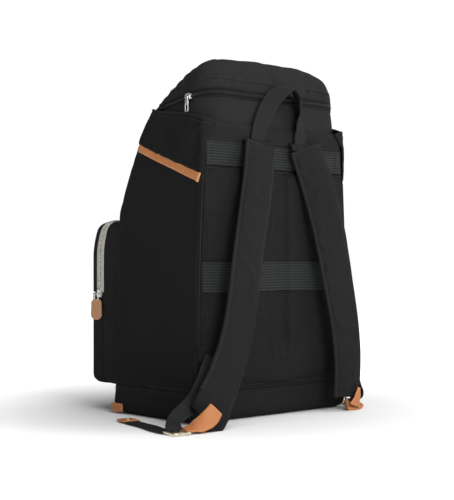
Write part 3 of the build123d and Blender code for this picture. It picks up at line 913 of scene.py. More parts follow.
def collar(sign, tag):
    nu, nv = ((60, 26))
    u = np.linspace(0, 1, nu)
    v = np.linspace(0, 1, nv)
    P = np.zeros((nu, nv, 3))
    # along: 0 is the tip that wraps onto the back, 1 is the front seam on the slope
    for j, vv in enumerate(v):
        z = np.full(nu, 400.0)
        for _ in range(10):
            x0 = hw(z) + 1.0
            y0 = yf(z)
            tip = cint(z, [330, 388, 402, 413], [1.0, 1.6, 12.0, 25.0])     # how far it reaches round the rear corner
            rb = 4.0
            L0 = tip
            L1 = L0 + math.pi / 2 * rb
            L2 = L1 + (92.5 - rb) - (y0 + R_FRONT)
            L3 = L2 + math.pi / 2 * R_FRONT
            s = u * L3
            x = np.where(s < L0, x0 - rb - (L0 - s), np.where(s < L1, x0 - rb + rb * np.sin(np.clip((s - L0) / rb, 0, math.pi / 2)), x0))
            y = np.where(s < L0, 94.2, np.where(s < L1, 94.2 - rb + rb * np.cos(np.clip((s - L0) / rb, 0, math.pi / 2)), 94.2 - rb - (s - L1)))
            a = np.clip((s - L2) / R_FRONT, 0, math.pi / 2)
            x = np.where(s > L2, x0 - R_FRONT + R_FRONT * np.cos(a), x)
            y = np.where(s > L2, y0 + R_FRONT - R_FRONT * np.sin(a), y)
            zlo = mouth_z(np.clip(y, -60, 92.5)) - 7.0
            zhi = collar_top(y) - np.where(s < L0, (L0 - s) * 0.32, 0)
            z = zlo + vv * (zhi - zlo)
        P[:, j] = np.stack([x, y, z], 1)
    U, V = np.meshgrid(u, v, indexing="ij")
    N = grid_normals(P)
    if np.sum(N[..., 0]) < 0:
        N = -N
    off = -3.4 + 3.4 * np.clip(V / 0.16, 0, 1) + 4.2 * np.sin(math.pi * np.clip((V - 0.08) / 0.92, 0, 1) ** 0.8) * np.sin(math.pi * np.clip(U, 0.04, 0.96)) ** 0.5
    off += 3.0 * V ** 4 * np.sin(math.pi * np.clip((U - 0.05) / 0.8, 0, 1))      # the open edge gapes
    off += wave_noise(P * A([1, 1, 0.6]), 60, 11 + sign) * 1.3 * np.clip(V * 3, 0, 1)
    # creases that fan down from the rear tip
    fan = np.sin((U * 26 + V * 5)) * np.exp(-((U - 0.12) / 0.09) ** 2) * 1.3 * np.clip(V * 2, 0, 1)
    off += 5.5 * np.exp(-((U - 0.03) / 0.05) ** 2) * V ** 2
    P = P + N * (off + fan)[..., None]
    if sign < 0:
        P = flip_x(P)
    pin = np.zeros((nu, nv))
    pin[:, 0] = 1
    pin[0, :] = pin[-1, :] = 1
    pin[:, -1] = 0.85
    P = cloth_grid(P, pin, pressure=0.9, shrink=-0.012, cap=3.0, stiff=12)
    o = shell(f"side_collar_cloth_{tag}", P, 2.2, "side", out=out_from_axis)
    subdiv(o, 1)
    finish_piece(o, "root", (f"side_collar_{tag}",))
    N = grid_normals(P)
    if np.sum(N[..., 0]) * sign < 0:
        N = -N
    edge = resample(P[:, -1], 120)
    piped = piping(f"side_collar_hem_{tag}", resample(P[1:-1, -1] - N[1:-1, -1] * 1.0, 120), 1.55, "binding", n=8)
    finish_piece(piped, "root")
    hem = P[1:-1, -3] + N[1:-1, -3] * 0.15
    finish_piece(stitches(f"side_collar_thread_{tag}", hem, N[1:-1, -3]), "root")
    return P, N


for sgn, tg in ((1, "left"), (-1, "right")):
    collar(sgn, tg)


# ------------------------------------------------------------------ inner side gussets
def gusset(sign, tag):
    nu, nv = 26, 40
    y = np.linspace(-88, 89, nu)
    v = np.linspace(0, 1, nv)
    Y = np.repeat(y[:, None], nv, 1)
    ztop = np.interp(y, [-88, -69, -47, -33], [288, 334, 381, 409])
    Z = 40 + v[None, :] * (ztop[:, None] - 40)
    X = cint(Z, [40, 128, 219, 353, 409], [144, 138, 136, 130, 129])
    P = np.stack([X * sign, Y, Z], 2)
    P[..., 0] += sign * (wave_noise(P, 70, 21) * 0.8 - 0.4)
    o = shell(f"side_gusset_cloth_{tag}", P, 2.6, "body", out=(sign, 0, 0))
    finish_piece(o, "root", (f"side_gusset_{tag}",))


gusset(1, "left")
gusset(-1, "right")


# ------------------------------------------------------------------ front skin, from the base to the lid's hinge
def front_skin():
    nu, nv = ((72, 96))
    u = np.linspace(-1, 1, nu)
    z = np.r_[np.linspace(41, 270, nv // 3), np.linspace(276, 433.2, nv - nv // 3)]
    U, Z = np.meshgrid(u, z, indexing="ij")
    X = U * (hw(Z) - R_FRONT + 0.4)
    Y = yf(Z)
    crown = np.cos(U * math.pi / 2) ** 0.5
    top = np.clip((Z - 286) / 148, 0, 1)
    bul = 3.2 * crown * np.sin(math.pi * top) ** 0.7
    P = np.stack([X, Y, Z], 2)
    P[..., 1] -= bul * 0.85
    P[..., 2] += bul * 0.3
    P[..., 1] -= wave_noise(P * A([0.8, 1, 1.2]), 80, 31) * 0.9 * crown * (top > 0)
    pin = np.zeros(P.shape[:2])
    pin[0, :] = pin[-1, :] = 1
    pin[:, -1] = 1
    pin[Z < 284] = 1
    P = cloth_grid(P, pin, pressure=0.5, shrink=-0.012, cap=3.5, stiff=12)
    o = shell("front_skin_cloth", P, 2.6, "body", out=(0, -1, 0))
    subdiv(o, 1)
    finish_piece(o, "root", ("front_panel", "front_top_panel"))
    for i, tag in ((-1, "left"), (0, "right")):
        e = P[i].copy()
        e = e[e[:, 2] < 432]
        finish_piece(piping(f"front_seam_{tag}", resample(e + A([0, -0.4, 0]), 90), 1.5, "binding"), "root")
    k = np.argmin(abs(z - 427))
    row = P[2:-2, k] + A([0, -0.25, 0.12])
    finish_piece(stitches("front_top_thread", row, (0, -0.86, 0.5)), "root")


front_skin()


# ------------------------------------------------------------------ base tub
def ring_outline(grow, z, n=120, r=R_FRONT, rb=14.0):
    hx, y0, y1 = 154 + grow, -92.5 - grow, 92.5 + grow
    pts = []
    m = n // 4
    for cx, cy, a0, rr in ((hx - r, y0 + r, -90, r), (hx - rb, y1 - rb, 0, rb), (-hx + rb, y1 - rb, 90, rb), (-hx + r, y0 + r, 180, r)):
        for k in range(8):
            a = math.radians(a0 + 90 * k / 7)
            pts.append((cx + rr * math.cos(a), cy + rr * math.sin(a)))
    p = A(pts)
    p = np.vstack([p, p[:1]])
    q = resample(p, n + 1)[:-1]
    return np.column_stack([q, np.full(len(q), z)])


def base_tub():
    prof = [(-24, 0.25), (-15, 0.35), (-9.5, 0.9), (-5.0, 2.6), (-1.8, 6.0), (-0.2, 10.5), (0.6, 16), (0.2, 22), (-0.6, 30), (-0.8, 36), (-1.0, 41), (-1.2, 44.5)]
    rows = []
    n = 160
    for g, z in prof:
        q = ring_outline(g, z, n)
        amt = np.clip(z / 12, 0, 1)
        nn = unit(q[:, :2] * A([1 / 154, 1 / 92.5]))
        q[:, :2] += nn * (wave_noise(q * A([1, 1, 0.5]), 75, 41) * 1.2 * amt)[:, None]
        # the floor presses the bottom edge out at the sides and it tucks in under the pocket
        q[:, 2] += amt * np.clip((44 - z) / 44, 0, 1) * wave_noise(q, 120, 43) * 0.8
        rows.append(q)
    bottom = []
    for k in (0.05, 0.35, 0.7, 0.92):
        q = ring_outline(-24, 0.25, n)
        q[:, :2] *= k
        bottom.append(q)
    P = np.stack(bottom + rows, 1)
    P[:, len(bottom) + 1:, 2] = np.maximum(P[:, len(bottom) + 1:, 2], 0.35)
    o = shell("base_tub_cloth", P, 2.4, "base", cu=True, out=lambda q: np.concatenate([q[..., :2], q[..., 2:] - 60], -1))
    subdiv(o, 1)
    finish_piece(o, "root", ("base_panel",))
    top = P[:, -1]
    loop = np.vstack([top, top[:1]])
    nn = unit(np.column_stack([loop[:, 0] / 154, loop[:, 1] / 92.5, 0 * loop[:, 0]]))
    finish_piece(piping("base_seam", P[:, -1] + A([0, 0, 0.3]), 1.25, "binding", closed=True), "root")
    for z, nm in ((38.5, "a"), (35.3, "b")):
        q = ring_outline(-0.4, z, 240)
        nn = unit(np.column_stack([q[:, 0] / 154, q[:, 1] / 92.5, 0 * q[:, 0]]))
        q[:, :2] += nn[:, :2] * (wave_noise(q * A([1, 1, 0.5]), 75, 41) * 1.2)[:, None]
        finish_piece(stitches(f"base_thread_{nm}", np.vstack([q, q[:1]]), np.vstack([nn, nn[:1]])), "root")


base_tub()


# =====================================================================================
# back: skin, quilted mesh pads, bands, yoke
# =====================================================================================
def back_skin():
    u = np.linspace(-1, 1, 40)
    z = np.linspace(41, 410, 50)
    U, Z = np.meshgrid(u, z, indexing="ij")
    P = np.stack([U * (hw(Z) - 3.2), 92.7 + 0 * U, Z], 2)
    P[..., 1] += 0.25 * wave_noise(P, 60, 51)
    o = shell("back_skin_cloth", P, 2.4, "body", out=(0, 1, 0))
    finish_piece(o, "root", ("back_panel",))
    for s in (1, -1):
        zz = np.linspace(46, 338, 90)
        line = np.column_stack([s * (hw(zz) - 2.4), np.full(90, 93.0), zz])
        finish_piece(piping("back_seam_" + ("left" if s > 0 else "right"), line, 1.35, "binding"), "root")


def pad_height(X, Z):
    """How far the mesh back stands off the skin."""
    e = hw(Z) - 4.4
    side = 1 - np.clip(np.abs(X) / e, 0, 1) ** 9
    top = 1 - np.clip((Z - 46) / 151.5 - 1, -1, 1) ** 14
    h = 7.2 * np.clip(side, 0, 1) ** 0.5 * np.clip(top, 0, 1) ** 0.5
    ch = np.clip((np.abs(X + 3) - 8) / 11, 0, 1)
    ch = ch * ch * (3 - 2 * ch)
    low = np.clip((Z - 84) / 26, 0, 1)
    h = h - 4.6 * (1 - ch) * low * low * (3 - 2 * low)
    h = h - 1.1 * np.exp(-((Z - 198.5) / 15) ** 2)
    return np.maximum(h, 0.15)


def back_pads():
    nu, nv = ((110, 190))
    u = np.sin(np.linspace(-1, 1, nu) * math.pi / 2 * 0.97) / math.sin(math.pi / 2 * 0.97)
    u = 0.45 * u + 0.55 * np.linspace(-1, 1, nu)
    z = np.linspace(46, 349, nv)
    U, Z = np.meshgrid(u, z, indexing="ij")
    X = U * (hw(Z) - 4.4)
    P = np.stack([X, 93.0 + pad_height(X, Z), Z], 2)
    pin = np.zeros(P.shape[:2])
    pin[0, :] = pin[-1, :] = pin[:, 0] = pin[:, -1] = 1
    band = (np.abs(Z - 198.5) < 19)
    pin[band] = 0.9
    P = cloth_grid(P, pin, pressure=0.9, shrink=-0.012, cap=1.8, stiff=16, frames_n=14)
    # fine creases across the mesh, the way it gathers on its foam
    k = wave_noise(P * A([0.12, 0, 1]), 9.5, 52, 2) + 0.6 * wave_noise(P * A([0.25, 0, 1]), 21, 53, 2)
    edge = np.minimum(1, (1 - np.abs(U)) * 12) * np.minimum(1, (Z - 46) / 12) * np.minimum(1, (349 - Z) / 12)
    P[..., 1] += 0.42 * k * edge * ~band
    P[..., 1] = np.minimum(P[..., 1], np.where(band, 99.8, 101.4))
    Q = P.copy()
    Q[..., 1] = 92.9
    o = slab("back_pad_mesh", P, Q, "mesh")
    finish_piece(o, "root", ("back_pad_left", "back_pad_right", "back_pad_channel"))
    for zz, nm in ((47.5, "low"), (347.0, "top")):
        xx = np.linspace(-(hw(zz) - 7), hw(zz) - 7, 120)
        row = np.column_stack([xx, np.full(120, 94.6), np.full(120, zz)])
        finish_piece(piping(f"back_pad_seam_{nm}", row, 1.2, "binding"), "root")
    return P


def band(name, z0, z1, node, Y, halfw, t=1.3, bar=None):
    nv = 84
    per = 3.9
    v = np.linspace(0, z1 - z0, nv)
    xx = np.linspace(-halfw, halfw, 90)
    X, V = np.meshgrid(xx, v, indexing="ij")
    y = Y(X, z0 + V)
    rib = 0.35 * (0.5 - 0.5 * np.cos(2 * math.pi * V / per))
    lip = 0.5 * np.exp(-(np.minimum(V, z1 - z0 - V) / 1.2) ** 2)
    P = np.stack([X, y + rib + lip, z0 + V], 2)
    P[..., 2] += 0.5 * np.sin(X / 37.0 + z0)
    o = shell(name, P, t, "band", out=(0, 1, 0))
    finish_piece(o, "root", (node,))
    if bar:
        for s in (1, -1):
            for k, dx in enumerate((0, 2.6)):
                zz = np.linspace(z0 + 1.5, z1 - 1.5, 40)
                row = np.column_stack([np.full(40, s * (bar - dx)), Y(np.full(40, s * (bar - dx)), zz) + 0.45, zz])
                finish_piece(stitches(f"{name}_bar_{'l' if s > 0 else 'r'}{k}", row, (0, 1, 0), "thread", 2.2, 2.0, 0.42), "root")
    for zz, nm in ((z0 + 1.6, "a"), (z1 - 1.6, "b")):
        row = np.column_stack([np.linspace(-halfw + 3, halfw - 3, 140), np.zeros(140), np.full(140, zz)])
        row[:, 1] = Y(row[:, 0], row[:, 2]) + 0.7
        row[:, 2] += 0.5 * np.sin(row[:, 0] / 37.0 + z0)
        finish_piece(stitches(f"{name}_thread_{nm}", row, (0, 1, 0), "thread", 3.0, 2.2, 0.26), "root")


back_skin()
back_pads()
band("back_band_lower", 178, 219, "lower_back_band", lambda X, Z: 93.9 + np.minimum(pad_height(X, Z) + 0.7, 7.2) + 0 * Z, 143.0, bar=121)
band("back_band_upper", 351, 384, "upper_back_band", lambda X, Z: 94.2 + 0 * Z, 134.0, t=1.2, bar=124)


def yoke():
    nu, nv = 90, 26
    u = np.linspace(-1, 1, nu)
    v = np.linspace(0, 1, nv)
    U, V = np.meshgrid(u, v, indexing="ij")
    P = np.stack([U * 133.5, 93.4 + 0 * U, 384.3 + V * 24.9], 2)
    h = 2.9 * (1 - np.abs(2 * V - 1) ** 4) ** 0.6 * (1 - np.abs(U) ** 14) ** 0.5
    P[..., 1] += h + 0.5 * wave_noise(P * A([1, 1, 0.5]), 48, 61) * np.clip(h, 0, 1)
    Q = P.copy()
    Q[..., 1] = 92.9
    o = slab("back_yoke_cloth", P, Q, "body")
    subdiv(o, 1)
    finish_piece(o, "root", ("back_yoke",))
    for k in (1, 3, -4, -2):
        finish_piece(stitches(f"yoke_thread_{k % nv}", P[2:-2, k] + A([0, 0.12, 0]), (0, 1, 0)), "root")
    finish_piece(piping("yoke_seam", np.column_stack([np.linspace(-126, 126, 100), np.full(100, 93.9), np.full(100, 409.6)]), 1.1, "binding"), "root")


yoke()


# =====================================================================================
# zip outline, upper band, lid
# =====================================================================================
def zip_z(y):
    return 434 + (y + 22) * (19 / 114.5)


def outline(g=0.0, y_front=-8.0, n=220):
    """The zip's path in plan, grown by g: left side, rear left corner, back, rear right corner, right side."""
    a = np.radians(np.linspace(0, 90, 22))
    left = [(133 + g, y_front)] + [(100 + (33 + g) * math.cos(t), 59.5 + (33 + g) * math.sin(t)) for t in a]
    right = [(-x, y) for x, y in reversed(left)]
    p = resample(A(left + right), n)
    y = p[:, 1]
    return np.column_stack([p[:, 0], y, zip_z(np.minimum(y, 92.5))])


def outline_normal(p):
    t = unit(np.gradient(p, axis=0))
    n = np.cross(t, A([0, 0, 1.0]))
    n[:, 2] = 0
    n = unit(n)
    return n * np.sign(np.sum(n[:, :2] * (p[:, :2] - A([0, 20])), 1))[:, None]


def upper_band():
    p = outline(-0.6, -21.0, 180)
    nn = outline_normal(p)
    nv = 20
    v = np.linspace(0, 1, nv)
    P = np.zeros((len(p), nv, 3))
    for j, vv in enumerate(v):
        q = p.copy()
        q[:, 2] = 405 + vv * (p[:, 2] - 0.7 - 405)
        P[:, j] = q + nn * (1.5 * math.sin(math.pi * vv) ** 0.8)
        P[:, j, 0] += nn[:, 0] * 6.5 * (1 - vv) ** 1.2
    P += nn[:, None] * (0.9 * wave_noise(P * A([1, 1, 0.6]), 55, 71) * np.sin(math.pi * v) ** 0.5)[..., None]
    o = shell("upper_band_cloth", P, 2.4, "lid", out=lambda q: np.concatenate([q[..., :2] - A([0, 20]), 0 * q[..., 2:]], -1), inner="lining")
    subdiv(o, 1)
    finish_piece(o, "root", ("upper_side_band",))
    k = 2
    finish_piece(stitches("upper_band_thread", P[6:-6, k] + nn[6:-6] * 0.15, nn[6:-6]), "root")


def zip_half(tag, sgn, body, node):
    """One side of the main zip: its tape and its coil of small nylon loops. sgn is +1 on the lid and -1 on the body."""
    p = outline(0.0, -8.0, 260)
    nn = outline_normal(p)
    cols = []
    for dz, g in ((0.5, 0.2), (1.2, 0.75), (3.4, 0.95), (5.8, 0.9), (6.8, 0.5), (7.2, 0.0)):
        q = p + nn * g
        q[:, 2] += sgn * dz
        cols.append(q)
    P = np.stack(cols, 1)
    o = shell(f"main_zip_tape_{tag}", P, 0.6, "tape", out=lambda q: np.concatenate([q[..., :2] - A([0, 20]), 0 * q[..., 2:]], -1))
    finish_piece(o, body, (node,))
    row = p + nn * 1.1
    row[:, 2] += sgn * 0.95
    up = np.zeros_like(row)
    up[:, 2] = 1
    # coil: each loop is a short rounded grain set across the zip
    s = np.r_[0, np.cumsum(np.linalg.norm(np.diff(row, axis=0), axis=1))]
    k = int(s[-1] / 1.5)
    mid = (np.arange(k) + (0.25 if sgn > 0 else 0.75)) * s[-1] / k
    c = np.stack([np.interp(mid, s, row[:, i]) for i in range(3)], 1)
    n2 = unit(np.stack([np.interp(mid, s, nn[:, i]) for i in range(3)], 1))
    tt = unit(np.cross(n2, A([0, 0, 1.0])))
    verts, faces = [], []
    ring = [(0.0, 0.55), (0.40, 0.40), (0.40, -0.40), (0.0, -0.55), (-0.40, -0.40), (-0.40, 0.40)]
    for i in range(k):
        b = len(verts)
        for h in (-0.8, 0.8):
            for a, r in ring:
                verts.append(c[i] + tt[i] * a + n2[i] * r * 0.9 + A([0, 0, h]))
        for q in range(6):
            q2 = (q + 1) % 6
            faces.append((b + q, b + q2, b + 6 + q2, b + 6 + q))
        faces.append(tuple(b + q for q in range(5, -1, -1)))
        faces.append(tuple(b + 6 + q for q in range(6)))
    o = make(f"main_zip_coil_{tag}", verts, faces, "coil", np.zeros((len(verts), 2)))
    fix_normals(o)
    finish_piece(o, body)
    row = p + nn * 1.0
    row[:, 2] += sgn * 6.0
    finish_piece(stitches(f"main_zip_thread_{tag}", row, nn, "thread", 2.8, 2.0, 0.24), body)


upper_band()
zip_half("body", -1, "root", "main_zip_tape_body")
zip_half("lid", 1, "lid", "main_zip_tape_lid")


LID_PROFILE = [(92.4, 453.4), (91.0, 462), (89.2, 472), (85.0, 487), (78, 497.5), (68, 501.5), (56, 498.6), (38, 489.5), (16, 473.5), (-4, 455.2), (-16, 441), (-22, 434.4)]


def lid_hw(y):
    return np.where(y < 59.5, 133.0, 100 + np.sqrt(np.maximum(0, 33 ** 2 - (np.maximum(y, 59.5) - 59.5) ** 2)))


def lid():
    nr, nx = ((84, 110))
    prof = spline(LID_PROFILE, nr)
    y = prof[:, 0]
    y[0] = 92.4
    H = np.maximum(prof[:, 1] - zip_z(y), 0)
    H[0] = 0.55
    t = np.linspace(-1, 1, nx)
    xi = np.sin(t * math.pi / 2) * 0.62 + t * 0.38
    xi[0], xi[-1] = -1, 1
    Y, XI = np.meshgrid(y, xi, indexing="ij")
    Hm = np.repeat(H[:, None], nx, 1)
    f = (1 - np.abs(XI) ** 8) ** (1 / 2.5)
    X = XI * lid_hw(Y)
    Z = zip_z(Y) + 0.55 + (Hm - 0.55).clip(0) * f
    P = np.stack([X, Y, Z], 2)
    inside = np.minimum(1, Hm * f / 22.0)
    N = grid_normals(P)
    if np.sum(N[..., 2]) < 0:
        N = -N
    # soft sag and pull lines
    P += N * (wave_noise(P, 85, 81) * 1.7 * inside - 0.4 * inside)[..., None]
    g = np.exp(-((Y - 28) / 26) ** 2) * np.exp(-((np.abs(XI) - 0.94) / 0.09) ** 2)
    P += N * (g * 1.5 * np.sin(Y * 0.52 + 1.5 * np.sin(XI * 9)) * inside)[..., None]
    P[..., 2] += 3.6 * np.clip(1 - XI ** 2, 0, 1) * np.clip((Hm - 8) / 40, 0, 1) * np.minimum(1, inside * 1.2)
    P[..., 0] += 1.8 * np.sign(XI) * np.exp(-((Hm * f - 13) / 10) ** 2) * np.abs(XI) ** 4
    ridge = np.exp(-((Y - 72) / 7.0) ** 2) * np.clip(1 - np.abs(XI) ** 6, 0, 1)
    P[..., 2] += ridge * 1.0
    pin = np.zeros(P.shape[:2])
    pin[0, :] = pin[-1, :] = pin[:, 0] = pin[:, -1] = 1
    pin[1, :] = 0.8
    P = cloth_grid(P, pin, pressure=1.1, shrink=-0.012, cap=2.6, stiff=14, frames_n=18)
    P[..., 2] = np.minimum(P[..., 2], 512)
    o = shell("lid_cloth", P, 2.4, "lid", out=lambda q: q - A([0, 20, 430]), inner="lining")
    subdiv(o, 1)
    finish_piece(o, "lid", ("lid_panel", "lid_zip_band"))
    N = grid_normals(P)
    if np.sum(N[..., 2]) < 0:
        N = -N
    # seam 20 mm above the zip: walk the level set on both sides and across the rear
    hgt = P[..., 2] - zip_z(P[..., 1])
    lvl = 19.5
    side, sn = [], []
    for i in range(nr - 1, 0, -1):
        if y[i] > 70 or hgt[i].max() < lvl + 3:
            continue
        half = np.arange(nx // 2, nx)
        k = half[np.argmax(hgt[i][half] < lvl)] if (hgt[i][half] < lvl).any() else None
        if k is None:
            continue
        a = (hgt[i, k - 1] - lvl) / max(1e-6, hgt[i, k - 1] - hgt[i, k])
        side.append(P[i, k - 1] * (1 - a) + P[i, k] * a)
        sn.append(N[i, k - 1])
    rear, rn = [], []
    for j in range(nx - 2, nx // 2 - 1, -1):
        col = hgt[:, j]
        if col.max() < lvl + 3:
            continue
        k = int(np.argmax(col > lvl))
        if k == 0 or P[k, j, 1] < 71:
            continue
        a = (lvl - col[k - 1]) / (col[k] - col[k - 1])
        rear.append(P[k - 1, j] * (1 - a) + P[k, j] * a)
        rn.append(N[k, j])
    path = A(side + rear)
    nrm = A(sn + rn)
    mirror = path[::-1].copy()
    mirror[:, 0] *= -1
    mn = nrm[::-1].copy()
    mn[:, 0] *= -1
    path, nrm = np.vstack([path, mirror]), unit(np.vstack([nrm, mn]))
    s = np.linspace(0, 1, 260)
    src = np.r_[0, np.cumsum(np.linalg.norm(np.diff(path, axis=0), axis=1))]
    q = np.stack([np.interp(s * src[-1], src, path[:, i]) for i in range(3)], 1)
    qn = unit(np.stack([np.interp(s * src[-1], src, nrm[:, i]) for i in range(3)], 1))
    for _ in range(3):
        q[1:-1] = (q[:-2] + 2 * q[1:-1] + q[2:]) / 4
    finish_piece(piping("lid_seam", q + qn * 0.1, 0.95, "binding"), "lid")
    finish_piece(stitches("lid_seam_thread", q + qn * 0.35 + A([0, 0, 2.4]), qn), "lid")
    finish_piece(stitches("lid_seam_thread_low", q + qn * 0.45 - A([0, 0, 2.2]), qn), "lid")
    finish_piece(piping("lid_hinge_seam", np.column_stack([np.linspace(-118, 118, 80), np.full(80, -22.4), np.full(80, 433.9)]), 1.3, "binding"), "root")


lid()


# =====================================================================================
# ribbons: a path with a width and a facing direction at each station
# =====================================================================================
def stations(st, n):
    """Smooth path through (point, normal, width) stations, n points evenly spaced."""
    p = A([s[0] for s in st])
    q = np.vstack([2 * p[0] - p[1], p, 2 * p[-1] - p[-2]])
    nn = A([s[1] for s in st])
    ww = A([s[2] for s in st])
    pts, ns, ws = [], [], []
    for i in range(1, len(q) - 2):
        for t in np.linspace(0, 1, 24, endpoint=False):
            a, b, c, d = q[i - 1], q[i], q[i + 1], q[i + 2]
            pts.append(0.5 * (2 * b + (c - a) * t + (2 * a - 5 * b + 4 * c - d) * t ** 2 + (3 * b - a - 3 * c + d) * t ** 3))
            e = t * t * (3 - 2 * t)
            ns.append(nn[i - 1] * (1 - e) + nn[i] * e)
            ws.append(ww[i - 1] * (1 - e) + ww[i] * e)
    pts.append(p[-1])
    ns.append(nn[-1])
    ws.append(ww[-1])
    pts, ns, ws = A(pts), A(ns), A(ws)
    s = np.r_[0, np.cumsum(np.linalg.norm(np.diff(pts, axis=0), axis=1))]
    t = np.linspace(0, s[-1], n)
    g = lambda a: np.interp(t, s, a)
    path = np.stack([g(pts[:, k]) for k in range(3)], 1)
    nrm = unit(np.stack([g(ns[:, k]) for k in range(3)], 1))
    return path, nrm, g(ws)


def ribbon(name, st, thick, mat, n=60, crown=0.0, thread="thread", inset=2.2, pitch=3.0, body="root", nodes=(), ends=False, thread_back=False, seed=0, wob=0.0):
    """Flat strip with a rounded cross-section and a row of stitches along each edge."""
    path, nrm, wid = stations(st, n)
    tan, nn, w = frames(path, nrm)
    if wob:
        path = path + nn * (wob * wave_noise(path, 34, 90 + seed))[:, None]
    m = 13
    a = np.linspace(-1, 1, m)
    top = np.column_stack([a / 2, thick / 2 * (1 - np.abs(a) ** 10 * 0.75) + crown * (1 - a ** 2)])
    bot = np.column_stack([a[::-1] / 2, -thick / 2 * (1 - np.abs(a[::-1]) ** 10 * 0.75) + crown * (1 - a[::-1] ** 2)])
    prof = np.vstack([top, bot])
    P = path[:, None] + w[:, None] * (prof[None, :, :1] * wid[:, None, None]) + nn[:, None] * prof[None, :, 1:2]
    o = tube(name, P, mat)
    made = [finish_piece(o, body, nodes)]
    if thread:
        for s in (-1, 1):
            row = path + w * (s * (wid / 2 - inset))[:, None] + nn * (thick / 2 + crown * 0.3 + 0.05)
            made.append(finish_piece(stitches(f"{name}_thread_{'a' if s < 0 else 'b'}", row[1:-1], nn[1:-1], thread, pitch, pitch * 0.68, 0.3), body))
            if thread_back:
                row = path + w * (s * (wid / 2 - inset))[:, None] - nn * (thick / 2 + 0.05)
                made.append(finish_piece(stitches(f"{name}_thread_{'c' if s < 0 else 'd'}", row[1:-1], -nn[1:-1], thread, pitch, pitch * 0.68, 0.3), body))
        if ends:
            for i, tg in ((1, "e"), (-2, "f")):
                k = np.linspace(-0.5, 0.5, 14)[:, None] * (wid[i] - 2 * inset)
                row = path[i] + w[i] * k + nn[i] * (thick / 2 + crown * 0.6 + 0.05)
                made.append(finish_piece(stitches(f"{name}_thread_{tg}", row, nn[i], thread, pitch, pitch * 0.68, 0.3), body))
    return made


# ------------------------------------------------------------------ shoulder straps
NS = [(0, 1, .10), (0, 1, .18), (0, 1, .14), (0, 1, .10), (0, 1, .06), (0, 1, 0), (0, 1, 0), (0, 1, 0)]
LEFT = [(44, 106, 381.5), (49, 110, 362), (57, 115, 333), (67, 119.5, 299), (78, 123.5, 259), (87, 125.5, 220), (93.5, 125.8, 180),
        (102, 126.5, 140), (116, 129, 101), (137, 134, 64), (159, 141, 38)]
RIGHT = [(-46, 106, 381.5), (-52, 110, 362), (-61, 115, 333), (-70, 119.5, 299), (-79, 123.5, 259), (-87, 125.5, 220), (-97, 125.8, 178),
         (-106, 126.5, 136), (-112, 127, 92), (-114, 126, 52), (-112, 123, 20)]
NL = NS + [(.02, 1, .04), (.06, 1, .12), (.12, 1, .25)]
NR = NS + [(0, 1, 0), (0, 1, 0), (-.1, 1, -.05)]


def shoulder(tag, pts, nrms, seed):
    n = 130
    path, nrm, wid = stations([(p, q, 55.0) for p, q in zip(pts, nrms)], n)
    tan, nn, w = frames(path, nrm)
    k = 25
    a = np.linspace(-1, 1, k)
    s = np.linspace(0, 1, n)
    ends = np.minimum(1, np.minimum(s * 16, (1 - s) * 12))
    ends = ends ** 0.5
    h = (1.5 + 4.7 * (1 - np.abs(a) ** 3.4).clip(0) ** 0.62)[None, :] * (0.45 + 0.55 * ends)[:, None]
    half = 24.6
    T = path[:, None] + w[:, None] * (a * half)[None, :, None] + nn[:, None] * h[..., None]
    B = path[:, None] + w[:, None] * (a * half)[None, :, None] - nn[:, None] * (h * 0.92)[..., None]
    pin = np.zeros((n, k))
    pin[:, 0] = pin[:, -1] = 1
    pin[0] = pin[-1] = 1
    inner = np.minimum(1, (1 - np.abs(a)) * 5)[None, :]
    T = T + nn[:, None] * (wave_noise(T, 46, seed) * 0.55 * inner)[..., None]
    T = cloth_grid(T, pin, pressure=1.6, shrink=-0.012, cap=1.6, stiff=14, frames_n=14)
    crease = 0.35 * wave_noise(T * A([0.25, 0.25, 1]), 12, seed + 5, 2) * np.exp(-((np.abs(a) - 0.86) / 0.16) ** 2)[None, :]
    T = T + nn[:, None] * (crease * inner)[..., None]
    o = slab(f"shoulder_strap_pad_{tag}", T, B, "strap")
    o.data.materials.append(M["mesh"])
    nf = (n - 1) * (k - 1)
    for i in range(nf, 2 * nf):
        o.data.polygons[i].material_index = 1
    subdiv(o, 1)
    body = f"strap_{tag}"
    finish_piece(o, body, (f"shoulder_strap_{tag}",))
    for sg in (-1, 1):
        q = path + w * (sg * 24.8)
        e = sweep(f"shoulder_strap_binding_{tag}_{'a' if sg < 0 else 'b'}", q, nn, rrect(5.4, 4.4, 1.9, 4), "binding")
        finish_piece(e, body)
        for side, tg in ((1, "f"), (-1, "r")):
            row = path + w * (sg * 23.6) + nn * (side * 2.2)
            finish_piece(stitches(f"shoulder_strap_thread_{tag}_{'a' if sg < 0 else 'b'}{tg}", row, nn * side, "thread", 3.2, 2.3, 0.3), body)
    # bound top end, sewn flat to the yoke
    e = sweep(f"shoulder_strap_top_{tag}", path[0] + w[0] * np.linspace(-27.2, 27.2, 24)[:, None] - tan[0] * 0.4, nn[0], rrect(5.0, 5.2, 1.9, 4), "binding")
    finish_piece(e, body)
    root = path[0] + A([0, -9.3, 3.6])
    anchor = np.stack([root + A([x, 0, 0]) for x in np.linspace(-26, 26, 20)])
    P = np.stack([anchor + A([0, dy, dz]) for dy, dz in ((9.6, -6.5), (9.2, -3.0), (7.4, 1.5), (3.6, 4.6), (0.6, 6.2))], 1)
    o = shell(f"strap_anchor_{tag}", P, 2.2, "strap", out=(0, 1, 0.3))
    subdiv(o, 1)
    finish_piece(o, None)
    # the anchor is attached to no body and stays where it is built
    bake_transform(o)
    if tag == "left":
        a0, a1 = path[-2] + nn[-2] * 0, path[-1]
    return path, nrm, wid


